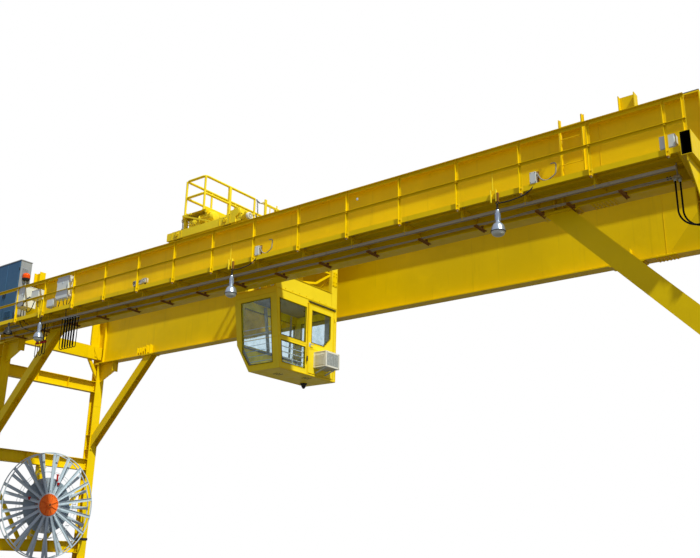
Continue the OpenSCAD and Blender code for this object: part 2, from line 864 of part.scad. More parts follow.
module trolley_frame() {
    bearing_half = 130;
    cab_frame_y = 1500;
    hanger_plate_t = pedestal_w - 40;
    color(yellow) {
        for (y = [-girder_y, girder_y])
            difference() {
                translate([trolley_x0, y - side_beam_w / 2, beam_z])
                    cube([side_beam_l, side_beam_w, side_beam_h]);
                for (x = trolley_wheel_xs)
                    translate([x - trolley_wheel_d / 2 - wheel_pocket, y - 75, beam_z - 1])
                        cube([trolley_wheel_d + 2 * wheel_pocket, 150, side_beam_h + 2]);
                for (x = trolley_wheel_xs)
                    translate([x, y, trolley_wheel_z])
                        rod_y(-side_beam_w, side_beam_w, trolley_axle_d + axle_fit);
            }
        for (x = cross_xs)
            translate([x, 0, beam_z + side_beam_h / 2])
                along_y(x < side_beam_x1 ? -inner_beam_y - 1 : -cab_frame_y, x < side_beam_x1 ? inner_beam_y + 1 : cab_frame_y)
                    i_section(side_beam_h, cross_beam_w, 20, 12);
        for (side = [-1, 1])
            translate([cross_xs[2], side * (cab_frame_y - pedestal_w / 2) - pedestal_w / 2, beam_z])
                cube([cross_xs[3] - cross_xs[2] + cross_beam_w / 2, pedestal_w, side_beam_h]);
        for (i = [0, 2])
            translate([cross_xs[i] - cross_beam_w / 2, -cab_frame_y, trolley_deck_z - 1])
                cube([cross_xs[i + 1] - cross_xs[i] + cross_beam_w, 2 * cab_frame_y, deck_t + 1]);
        trolley_platform();
        for (side = [-1, 1])
            translate([0, side * pedestal_y, 0])
                difference() {
                    union() {
                        translate([cross_xs[1], -pedestal_w / 2, beam_z + 20])
                            cube([cross_xs[2] - cross_xs[1], pedestal_w, side_beam_h - 20]);
                        along_y(-hanger_plate_t / 2, hanger_plate_t / 2)
                            polygon([[hoist_x - 350, trolley_deck_z], [hoist_x - bearing_half, drum_z - bearing_half],
                                     [hoist_x + bearing_half, drum_z - bearing_half], [hoist_x + 350, trolley_deck_z]]);
                    }
                    translate([hoist_x, 0, drum_z]) rod_y(-pedestal_w, pedestal_w, journal_d + axle_fit);
                }
    }
}

module trolley_wheels() {
    color("dimgray")
        for (y = [-girder_y, girder_y], x = trolley_wheel_xs)
            translate([x, y, trolley_wheel_z]) {
                rod_y(-68, 68, trolley_wheel_d);
                rod_y(-side_beam_w / 2, side_beam_w / 2, trolley_axle_d);
            }
}

module trolley_handrail() {
    x0 = cross_xs[0] - 30;
    x1 = cross_xs[1] - 50;
    y0 = -inner_beam_y - side_beam_w + 60;
    y1 = -y0;
    z0 = platform_z;
    color(yellow)
        for (x = [x0, x1]) {
            for (level = [0.5, 1])
                translate([x, 0, z0 + level * trolley_rail_h]) rod_y(y0 - tube_d / 2, y1 + tube_d / 2, tube_d - 6);
            for (i = [0 : 4])
                translate([x, y0 + i * (y1 - y0) / 4, z0])
                    cylinder(h = trolley_rail_h, d = tube_d);
        }
    color(yellow)
        for (y = [y0, y1], level = [0.5, 1])
            translate([0, y, z0 + level * trolley_rail_h]) rod_x(x0, x1, tube_d - 12);
}

module hoist_drum() {
    color("dimgray")
        translate([hoist_x, 0, drum_z]) {
            rod_y(-drum_l / 2, drum_l / 2, drum_d);
            for (side = [-1, 1])
                translate([0, side * drum_l / 2, 0]) rod_y(-15, 15, drum_d + 120);
            rod_y(-pedestal_y - pedestal_w / 2, pedestal_y + pedestal_w / 2, journal_d);
        }
}

module hoist_drive() {
    color(yellow) {
        translate([cross_xs[0] + 100, -1700, trolley_deck_z + deck_t]) cube([520, 520, 330]);
        translate([cross_xs[0] + 350, 0, trolley_deck_z + deck_t + 170]) rod_y(-1190, -500, 260);
        // Travel drives on the ends of the side beams
        for (y = [-girder_y, girder_y]) {
            translate([side_beam_x1, y - 90, beam_z + 20]) cube([200, 180, side_beam_h - 10]);
            translate([0, y, beam_z + 120]) rod_x(side_beam_x1 + 199, side_beam_x1 + 460, 180);
        }
    }
}

// Hook block, measured up from the middle of the hook
block_low = 300;
block_h = 300;
hook_r = 115;
hook_t = 80;

module hoist_ropes() {
    rope_d = 19;
    block_top = hook_z + block_low + block_h;
    rope_dx = 155;
    color("dimgray")
        for (x = [-1, 1], y = [-420, -140, 140, 420])
            translate([hoist_x + x * rope_dx, y, block_top])
                cylinder(h = drum_z - sqrt(pow(drum_d / 2, 2) - pow(rope_dx - rope_d / 2, 2)) - block_top,
                         d = rope_d, $fn = 16);
}

module hook_block() {
    color("goldenrod") {
        translate([hoist_x - 220, -520, hook_z + block_low]) cube([440, 1040, block_h]);
    }
    color("dimgray") {
        translate([hoist_x, 0, hook_z + hook_r]) cylinder(h = block_low - hook_r + 1, d = hook_t + 20);
        translate([hoist_x, 0, hook_z]) rotate([0, 90, 0])
            rotate_extrude(angle = 270, $fn = 48) translate([hook_r, 0]) circle(d = hook_t, $fn = 24);
    }
}

// Cab: side profile in X and Z, and end profile in Y and Z
cab_top = cab_z + cab_h;
cab_y0 = -girder_y + 675;
cab_y1 = cab_y0 + cab_w;
lean = 256;
knee_dx = 50;
chin_dx = 460;
chin_z = 775;

module cab_body(inset) {
    front_inset = inset * 1.1;
    x0 = cab_x1 - cab_l;
    intersection() {
        along_y(cab_y0 - lean + inset, cab_y1 - inset)
            polygon([[cab_x1 - inset, cab_z + inset], [cab_x1 - inset, cab_top - inset],
                     [x0 + front_inset, cab_top - inset], [x0 + knee_dx + front_inset, cab_z + chin_z],
                     [x0 + chin_dx + front_inset, cab_z + inset]]);
        along_x(x0 - 10, cab_x1 + 10)
            polygon([[cab_y0 + inset, cab_z + inset], [cab_y1 - inset, cab_z + inset],
                     [cab_y1 - inset, cab_top - inset], [cab_y0 - lean + inset, cab_top - inset]]);
    }
}

// Door in the right-hand wall, hinged at its far side
door_y1 = cab_y1 - 110;
door_y0 = door_y1 - door_w;
door_z0 = cab_z + 60;

// Two hinges outside the wall: the wall's knuckle carries the pin, the door's turns on it
hinge_d = 26;
hinge_pin_d = 12;
hinge_x = cab_x1 + hinge_d / 2 + 3;
hinge_y = door_y1 + 20;
hinge_zs = [door_z0 + 260, door_z0 + door_h - 300];
knuckle_l = 60;
knuckle_gap = 1;
leaf_t = 5;
leaf_w = 70;

module wall_hinge() {
    rod = hinge_pin_d;
    cylinder(h = knuckle_l, d = hinge_d);
    translate([0, 0, knuckle_l - 1]) cylinder(h = knuckle_l + knuckle_gap, d = rod);
    translate([-hinge_d / 2 - 3, 0, 0]) cube([hinge_d / 2 + 3, leaf_t, knuckle_l]);
    translate([-hinge_d / 2 - 3, 0, 0]) cube([leaf_t, leaf_w, knuckle_l]);
}

module door_hinge() {
    difference() {
        union() {
            translate([0, 0, knuckle_l + knuckle_gap]) cylinder(h = knuckle_l, d = hinge_d);
            translate([-hinge_d / 2 - 3, -leaf_t, knuckle_l + knuckle_gap])
                cube([hinge_d / 2 + 3, leaf_t, knuckle_l]);
            translate([-hinge_d / 2 - 3, -leaf_w - 20, knuckle_l + knuckle_gap])
                cube([leaf_t, leaf_w + 20, knuckle_l]);
        }
        translate([0, 0, knuckle_l]) cylinder(h = 2 * knuckle_l, d = hinge_pin_d + axle_fit);
    }
}

// The right-hand wall stands above the roof, up to the far hanger
upstand_h = 425;
upstand_near_h = 190;
upstand_corner_l = 300;

module cab_upstand() {
    top = cab_top + upstand_h;
    far_y = cab_y1 - hanger_w - door_gap;
    along_x(cab_x1 - cab_wall, cab_x1)
        polygon([[near_y(cab_top), cab_top], [near_y(cab_top + upstand_near_h), cab_top + upstand_near_h],
                 [cab_y0 + upstand_corner_l, top], [far_y, top], [far_y, cab_top]]);
}

module cab_shell() {
    color(yellow) {
        for (z = hinge_zs) translate([hinge_x, hinge_y, z]) wall_hinge();
        cab_upstand();
    }
    color(yellow)
        difference() {
            cab_body(0);
            cab_body(cab_wall);
            translate([cab_x1 - 2 * cab_wall, door_y0 - door_gap, door_z0 - door_gap])
                cube([4 * cab_wall, door_w + 2 * door_gap, door_h + 2 * door_gap]);
            right_window_cuts();
            near_window_cut();
            front_window_cut();
            far_window_cut();
        }
}

window_lean = lean / cab_h;

function near_y(z) = cab_y0 - window_lean * (z - cab_z);

upper_sill = cab_z + 922;
upper_head = cab_z + 1930;
lower_sill = cab_z + 175;
lower_head = cab_z + 775;
window_margin = 130;

module right_pane(z0, z1) {
    polygon([[near_y(z0) + window_margin, z0], [door_y0 - window_margin, z0],
             [door_y0 - window_margin, z1], [near_y(z1) + window_margin, z1]]);
}

module right_window_cuts() {
    along_x(cab_x1 - 2 * cab_wall, cab_x1 + cab_wall) {
        right_pane(upper_sill, upper_head);
        right_pane(lower_sill, lower_head);
    }
}

side_x1 = cab_x1 - 228;

module side_pane() {
    x0 = cab_x1 - cab_l;
    polygon([[side_x1, lower_sill], [side_x1, upper_head],
             [x0 + 257, upper_head], [x0 + 257, cab_z + 550], [x0 + 495, lower_sill]]);
}

module near_window_cut() {
    along_y(cab_y0 - lean - 10, cab_y0 + 2 * cab_wall) side_pane();
}

module far_window_cut() {
    along_y(cab_y1 - 2 * cab_wall, cab_y1 + cab_wall) side_pane();
}

module front_window_cut() {
    x0 = cab_x1 - cab_l;
    translate([x0 - 10, cab_y0 + window_margin, cab_z + chin_z + 60])
        cube([knee_dx + 3 * cab_wall, cab_w - 2 * window_margin, upper_head - cab_z - chin_z - 60]);
}

glass_t = 10;

module glass_skin() {
    difference() {
        cab_body(cab_wall / 2 - glass_t / 2);
        cab_body(cab_wall / 2 + glass_t / 2);
    }
}

module cab_windows() {
    color("lightblue", 0.4)
        intersection() {
            glass_skin();
            union() {
                right_window_cuts();
                near_window_cut();
                front_window_cut();
                far_window_cut();
            }
        }
}

hanger_w = 255;
hanger_t = 110;

module cab_hangers() {
    near_hanger_y = cab_y0 + 50;
    inner_x = cab_x1 - cab_wall - door_gap - hanger_t;
    color(yellow)
        for (p = [[cab_x1 - hanger_t, cab_y1 - hanger_w], [inner_x, near_hanger_y],
                  [cross_xs[2] - hanger_t / 2, cab_y1 - hanger_w], [cross_xs[2] - hanger_t / 2, near_hanger_y]])
            translate([p[0], p[1], cab_top]) cube([hanger_t, hanger_w, beam_z - cab_top]);
}

door_t = 40;

module door_window_outline() {
    y0 = door_y0 + 140;
    y1 = door_y1 - 175;
    z0 = door_z0 + 900;
    z1 = door_z0 + door_h - 200;
    corner = 275;
    polygon([[y0, z0], [y1 - corner, z0], [y1, z0 + corner], [y1, z1], [y0, z1]]);
}

module cab_door() {
    color(yellow) {
        difference() {
            translate([cab_x1 - door_t, door_y0, door_z0]) cube([door_t, door_w, door_h]);
            along_x(cab_x1 - 2 * door_t, cab_x1 + door_t) door_window_outline();
        }
        for (z = hinge_zs) translate([hinge_x, hinge_y, z]) door_hinge();
    }
}

module cab_door_window() {
    color("lightblue", 0.4)
        along_x(cab_x1 - door_t / 2 - glass_t / 2, cab_x1 - door_t / 2 + glass_t / 2)
            door_window_outline();
}

ac_w = 615;
ac_h = 435;
ac_d = 435;

module cab_air_conditioner() {
    color("white")
        translate([cab_x1, door_y0 + 265, door_z0 + 200]) cube([ac_d, ac_w, ac_h]);
}

near_girder();
far_girder();
girder_end_ties();
left_legs();
right_legs();
left_cross_ties();
right_cross_ties();
left_sill();
right_sill();
leg_braces();
knee_braces();
haunch_plates();
end_trucks();
truck_wheels();
travel_drives();
truck_buffers();
trolley_rails();
trolley_stops();
walkway_deck();
walkway_brackets();
walkway_handrail();
girder_ladder();
electrical_cabinet();
control_boxes();
pendant_lamps();
festoon_track();
festoon_cables();
supply_cables();
reel_stand();
reel_motor();
reel_wheel();
reel_hub();
trolley_frame();
trolley_wheels();
trolley_handrail();
hoist_drum();
hoist_drive();
hoist_ropes();
hook_block();
cab_shell();
cab_windows();
cab_hangers();
cab_door();
cab_door_window();
cab_air_conditioner();
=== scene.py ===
import bmesh
import bpy
import json
from math import cos, pi, radians, sin
from mathutils import Matrix, Vector


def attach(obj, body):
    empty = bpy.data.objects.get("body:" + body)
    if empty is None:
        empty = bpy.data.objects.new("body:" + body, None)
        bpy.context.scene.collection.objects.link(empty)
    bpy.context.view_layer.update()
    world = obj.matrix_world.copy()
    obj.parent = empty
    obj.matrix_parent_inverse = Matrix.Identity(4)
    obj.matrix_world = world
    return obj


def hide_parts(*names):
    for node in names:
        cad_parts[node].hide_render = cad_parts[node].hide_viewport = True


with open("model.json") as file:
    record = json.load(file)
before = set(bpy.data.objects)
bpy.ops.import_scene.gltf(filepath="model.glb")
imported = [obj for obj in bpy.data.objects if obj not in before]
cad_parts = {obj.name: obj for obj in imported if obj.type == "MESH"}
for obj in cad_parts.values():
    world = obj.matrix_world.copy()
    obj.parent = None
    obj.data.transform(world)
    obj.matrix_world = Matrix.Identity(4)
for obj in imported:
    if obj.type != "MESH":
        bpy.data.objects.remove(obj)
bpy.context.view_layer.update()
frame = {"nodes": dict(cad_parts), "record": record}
NODES = frame["nodes"]
RIGHT, LEFT = (1, 0, 0), (-1, 0, 0)
BACK, TO_FRONT = (0, 1, 0), (0, -1, 0)
UP, DOWN = (0, 0, 1), (0, 0, -1)

# ---------------------------------------------------------------- camera, light and floor

CAMERA_AT = Vector((15.8, -18.45, 1.6))
HEADING, PITCH, ROLL = (radians(a) for a in (37.34, 18.33, -1.08))
FOCAL_PX, WIDTH_PX, SENSOR_MM = 873.0, 700.0, 36.0
SUN_AZIMUTH, SUN_HEIGHT, SUN_WIDTH = (radians(a) for a in (-20, 53, 2.0))
SUN_ENERGY, SUN_COLOUR = 4.1, (0.97, 1.0, 0.88)
SKY_STRENGTH, SKY_COLOUR = 0.46, (0.78, 0.81, 1.0, 1)
FLOOR_HALF = 160.0

# Places on the crane that several fittings share, in metres
BEACON = (-10.44, -2.46)
LADDER_X = 9.35
HOIST_MOTOR_X, HOIST_MOTOR_Z = -2.62, 11.308
TRAVEL_MOTOR_X, TRAVEL_MOTOR_Z = -2.62, 11.3


def make_camera():
    forward = Vector((-sin(HEADING) * cos(PITCH), cos(HEADING) * cos(PITCH), sin(PITCH)))
    right0 = Vector((cos(HEADING), sin(HEADING), 0))
    down0 = forward.cross(right0)
    right = right0 * cos(ROLL) + down0 * sin(ROLL)
    down = -right0 * sin(ROLL) + down0 * cos(ROLL)
    data = bpy.data.cameras.new("camera")
    data.sensor_fit = "HORIZONTAL"
    data.sensor_width = SENSOR_MM
    data.lens = FOCAL_PX / WIDTH_PX * data.sensor_width
    data.clip_end = 400.0
    cam = bpy.data.objects.new("camera", data)
    axes = Matrix((right, -down, -forward)).transposed().to_4x4()
    cam.matrix_world = Matrix.Translation(CAMERA_AT) @ axes
    bpy.context.scene.collection.objects.link(cam)
    bpy.context.scene.camera = cam


def ray_mix(nodes, links, shown, hidden):
    """shown for camera and glass rays, hidden for the light that reaches the crane and for reflections."""
    path = nodes.new("ShaderNodeLightPath")
    either = nodes.new("ShaderNodeMath")
    either.operation = "MAXIMUM"
    mix = nodes.new("ShaderNodeMixShader")
    links.new(path.outputs["Is Camera Ray"], either.inputs[0])
    links.new(path.outputs["Is Transmission Ray"], either.inputs[1])
    links.new(either.outputs[0], mix.inputs[0])
    links.new(hidden, mix.inputs[1])
    links.new(shown, mix.inputs[2])
    return mix.outputs[0]


def make_world():
    world = bpy.data.worlds.new("world")
    bpy.context.scene.world = world
    world.use_nodes = True
    nodes, links = world.node_tree.nodes, world.node_tree.links
    nodes.clear()
    out = nodes.new("ShaderNodeOutputWorld")
    white = nodes.new("ShaderNodeBackground")
    white.inputs["Color"].default_value = (1, 1, 1, 1)
    white.inputs["Strength"].default_value = 1.0
    sky = nodes.new("ShaderNodeBackground")
    sky.inputs["Color"].default_value = SKY_COLOUR
    sky.inputs["Strength"].default_value = SKY_STRENGTH
    links.new(ray_mix(nodes, links, white.outputs[0], sky.outputs[0]), out.inputs["Surface"])


def make_sun():
    azimuth, height = SUN_AZIMUTH, SUN_HEIGHT
    toward = Vector((cos(azimuth) * cos(height), sin(azimuth) * cos(height), sin(height)))
    data = bpy.data.lights.new("sun", "SUN")
    data.energy = SUN_ENERGY
    data.angle = SUN_WIDTH
    data.color = SUN_COLOUR
    sun = bpy.data.objects.new("sun", data)
    sun.rotation_euler = toward.to_track_quat("Z", "Y").to_euler()
    sun.location = toward * 60
    bpy.context.scene.collection.objects.link(sun)


def make_floor():
    mesh = bpy.data.meshes.new("floor")
    s = FLOOR_HALF
    mesh.from_pydata([(-s, -s, 0), (s, -s, 0), (s, s, 0), (-s, s, 0)], [], [(0, 1, 2, 3)])
    floor = bpy.data.objects.new("floor", mesh)
    bpy.context.scene.collection.objects.link(floor)
    mat = bpy.data.materials.new("floor")
    mat.use_nodes = True
    nodes, links = mat.node_tree.nodes, mat.node_tree.links
    shader = nodes["Principled BSDF"]
    shader.inputs["Base Color"].default_value = (0.8, 0.8, 0.79, 1)
    shader.inputs["Roughness"].default_value = 0.9
    dim = nodes.new("ShaderNodeBsdfDiffuse")
    dim.inputs["Color"].default_value = (0.2, 0.19, 0.17, 1)
    links.new(ray_mix(nodes, links, shader.outputs[0], dim.outputs[0]), nodes["Material Output"].inputs["Surface"])
    mesh.materials.append(mat)


bpy.context.scene.view_settings.view_transform = "Standard"
make_camera()
make_world()
make_sun()
make_floor()

# ---------------------------------------------------------------- materials


def linear(rgb):
    return tuple(c / 12.92 if c <= 0.04045 else ((c + 0.055) / 1.055) ** 2.4 for c in rgb)


class Graph:
    """Short names for the nodes of one material."""

    def __init__(self, name):
        self.mat = bpy.data.materials.new(name)
        self.mat.use_nodes = True
        self.nodes, self.links = self.mat.node_tree.nodes, self.mat.node_tree.links
        self.shader = self.nodes["Principled BSDF"]
        self.pos = self.nodes.new("ShaderNodeTexCoord").outputs["Object"]
        self.geo = self.nodes.new("ShaderNodeNewGeometry")

    def noise(self, scale, detail=4, stretch=(1, 1, 1), roughness=0.55):
        mapping = self.nodes.new("ShaderNodeMapping")
        mapping.inputs["Scale"].default_value = stretch
        self.links.new(self.pos, mapping.inputs["Vector"])
        n = self.nodes.new("ShaderNodeTexNoise")
        n.inputs["Scale"].default_value = scale
        n.inputs["Detail"].default_value = detail
        n.inputs["Roughness"].default_value = roughness
        self.links.new(mapping.outputs[0], n.inputs["Vector"])
        return n.outputs["Fac"]

    def ramp(self, value, low, high, a=0.0, b=1.0):
        r = self.nodes.new("ShaderNodeMapRange")
        r.interpolation_type = "SMOOTHSTEP"
        for name, v in (("From Min", low), ("From Max", high), ("To Min", a), ("To Max", b)):
            r.inputs[name].default_value = v
        self.links.new(value, r.inputs["Value"])
        return r.outputs[0]

    def math(self, op, a, b):
        m = self.nodes.new("ShaderNodeMath")
        m.operation = op
        for i, v in enumerate((a, b)):
            if isinstance(v, (int, float)):
                m.inputs[i].default_value = v
            else:
                self.links.new(v, m.inputs[i])
        return m.outputs[0]

    def mix(self, fac, a, b):
        m = self.nodes.new("ShaderNodeMix")
        m.data_type = "RGBA"
        for socket, v in ((m.inputs[0], fac), (m.inputs[6], a), (m.inputs[7], b)):
            if isinstance(v, tuple):
                socket.default_value = (*v, 1)
            elif isinstance(v, (int, float)):
                socket.default_value = v
            else:
                self.links.new(v, socket)
        return m.outputs[2]

    def up(self):
        sep = self.nodes.new("ShaderNodeSeparateXYZ")
        self.links.new(self.geo.outputs["Normal"], sep.inputs[0])
        return sep.outputs["Z"]

    def bump(self, height, strength, distance):
        b = self.nodes.new("ShaderNodeBump")
        b.inputs["Strength"].default_value = strength
        b.inputs["Distance"].default_value = distance
        self.links.new(height, b.inputs["Height"])
        self.links.new(b.outputs[0], self.shader.inputs["Normal"])

    def base(self, socket):
        self.links.new(socket, self.shader.inputs["Base Color"])

    def rough(self, socket):
        self.links.new(socket, self.shader.inputs["Roughness"])

    def set(self, **values):
        for k, v in values.items():
            self.shader.inputs[k.replace("_", " ")].default_value = v


def paint(name, rgb, dirt=0.2, rust=0.15, rough=0.38, faded=0.1, gloss=0.12):
    """Gloss paint outdoors: faint patches, run-down dirt, dirt settled on top faces, painted shade on faces that point
    down, and specks of rust.
    """
    g = Graph(name)
    c = linear(rgb)
    pale = linear(tuple(min(1.0, v * 1.02 + faded * 0.2 * (v > 0.1)) for v in rgb))
    deep = linear(tuple(v * 0.95 for v in rgb))
    # Dark tone for the real dirt and also for the painted shade on faces that point down
    grime_and_shade = linear(tuple(0.55 * v + w for v, w in zip(rgb, (0.05, 0.03, 0.01))))
    rusty = linear((0.4, 0.2, 0.08))
    tone = g.ramp(g.noise(0.45, 3), 0.36, 0.66)
    col = g.mix(tone, deep, c)
    col = g.mix(g.math("MULTIPLY", g.ramp(g.noise(2.3, 5), 0.5, 0.75), 0.35), col, pale)
    runs = g.ramp(g.noise(1.0, 5, (7.0, 7.0, 0.45)), 0.54, 0.8)
    side = g.math("SUBTRACT", 1.0, g.math("ABSOLUTE", g.up(), 0.0))
    col = g.mix(g.math("MULTIPLY", g.math("MULTIPLY", runs, side), dirt), col, grime_and_shade)
    settled = g.math("MULTIPLY", g.ramp(g.up(), 0.6, 1.0), g.ramp(g.noise(3.0, 5), 0.35, 0.7))
    col = g.mix(g.math("MULTIPLY", settled, min(1.0, dirt * 1.6)), col, grime_and_shade)
    # Painted shade: faces that point down are darkened towards the dark tone, more strongly when the dirt setting is
    # above 0.15
    underside_shade = g.math("MULTIPLY", g.ramp(g.up(), -0.5, -0.98), 0.45 if dirt > 0.15 else 0.2)
    col = g.mix(underside_shade, col, grime_and_shade)
    specks = g.ramp(g.noise(9.0, 8, roughness=0.7), 0.66, 0.72)
    col = g.mix(g.math("MULTIPLY", specks, rust), col, rusty)
    g.base(col)
    g.rough(g.ramp(g.noise(5.0, 5), 0.3, 0.7, rough - 0.07, rough + 0.12))
    g.set(Specular_IOR_Level=gloss)
    g.bump(g.noise(26.0, 3), 0.1, 0.004)
    return g.mat


YELLOW = (0.97, 0.825, 0.0)
PAINTS = {  # colour, then what differs from the usual paint
    "yellow_paint": (YELLOW, {}),
    "yellow_machinery": ((0.98, 0.87, 0.16), {"dirt": 0.12, "rust": 0.08}),
    "cabinet_paint": ((0.6, 0.62, 0.64), {"dirt": 0.15, "rust": 0.05, "gloss": 0.3}),
    "grey_box": ((0.86, 0.88, 0.88), {"dirt": 0.15, "rust": 0.05}),
    "galvanised": ((0.75, 0.81, 0.86), {"dirt": 0.2, "rust": 0.06, "rough": 0.42, "gloss": 0.6}),
    "dark_steel": ((0.2, 0.2, 0.21), {"dirt": 0.3, "rust": 0.5}),
    "rail_steel": ((0.4, 0.38, 0.36), {"dirt": 0.3, "rust": 0.6}),
    "motor_grey": ((0.36, 0.38, 0.41), {"dirt": 0.3, "rust": 0.1}),
    "red_motor": ((0.72, 0.1, 0.07), {"dirt": 0.2, "rust": 0.1}),
    "orange_hub": ((0.98, 0.47, 0.17), {"dirt": 0.1, "rust": 0.04}),
    "rubber": ((0.05, 0.05, 0.05), {"dirt": 0.2, "rust": 0.0, "rough": 0.8}),
    "cable": ((0.04, 0.04, 0.045), {"dirt": 0.1, "rust": 0.0, "rough": 0.5}),
    "white_plastic": ((0.9, 0.89, 0.85), {"dirt": 0.2, "rust": 0.0}),
}
MATS = {name: paint(name, rgb, **options) for name, (rgb, options) in PAINTS.items()}


def make_glass():
    g = Graph("glass")
    g.set(Roughness=0.03, IOR=1.45, Transmission_Weight=1.0)
    g.base(g.mix(g.ramp(g.noise(4.0, 4), 0.4, 0.8), linear((0.9, 0.95, 0.97)), linear((0.8, 0.87, 0.9))))
    MATS["glass"] = g.mat


make_glass()
for row in frame["record"]["subparts"]:
    mesh = NODES[row["node"]].data
    mesh.materials.clear()
    mesh.materials.append(MATS[row["material_slot"]])

# ---------------------------------------------------------------- geometry helpers

SCENE_PAINTS = {  # for what the record has no slot
    "brown_steel": ((0.58, 0.39, 0.15), {"dirt": 0.3, "rust": 0.5, "rough": 0.6}),
    # Darker yellow that paints a shadow on the girders' webs
    "painted_shadow_yellow": ((0.9, 0.77, 0.0), {"dirt": 0.25}),
    "cabinet_blue": ((0.25, 0.4, 0.54), {"dirt": 0.1, "rust": 0.0}),
    "track_grey": ((0.7, 0.66, 0.56), {"dirt": 0.35, "rust": 0.25, "rough": 0.5}),
    "pale_liner": ((0.62, 0.62, 0.58), {"dirt": 0.25, "rust": 0.0, "rough": 0.6}),
    "grey_cable": ((0.64, 0.7, 0.75), {"dirt": 0.2, "rust": 0.0, "rough": 0.6}),
    "polished_metal": ((0.74, 0.79, 0.86), {"dirt": 0.1, "rust": 0.02, "rough": 0.22, "gloss": 0.8}),
    "orange_lens": ((0.97, 0.36, 0.06), {"dirt": 0.15, "rust": 0.0, "rough": 0.2}),
    "pale_feet": ((0.8, 0.74, 0.52), {"dirt": 0.3, "rust": 0.2}),
    "rope_steel": ((0.25, 0.24, 0.23), {"dirt": 0.2, "rust": 0.1, "rough": 0.45}),
    "lamp_glass": ((0.8, 0.82, 0.8), {"dirt": 0.25, "rust": 0.0, "rough": 0.15}),
}
MATS.update((name, paint(name, rgb, **options)) for name, (rgb, options) in SCENE_PAINTS.items())
MATS["polished_metal"].node_tree.nodes["Principled BSDF"].inputs["Metallic"].default_value = 0.7


def turned(angle, axis):
    return Matrix.Rotation(angle, 3, axis)


def span(middle, half):
    return middle - half, middle + half


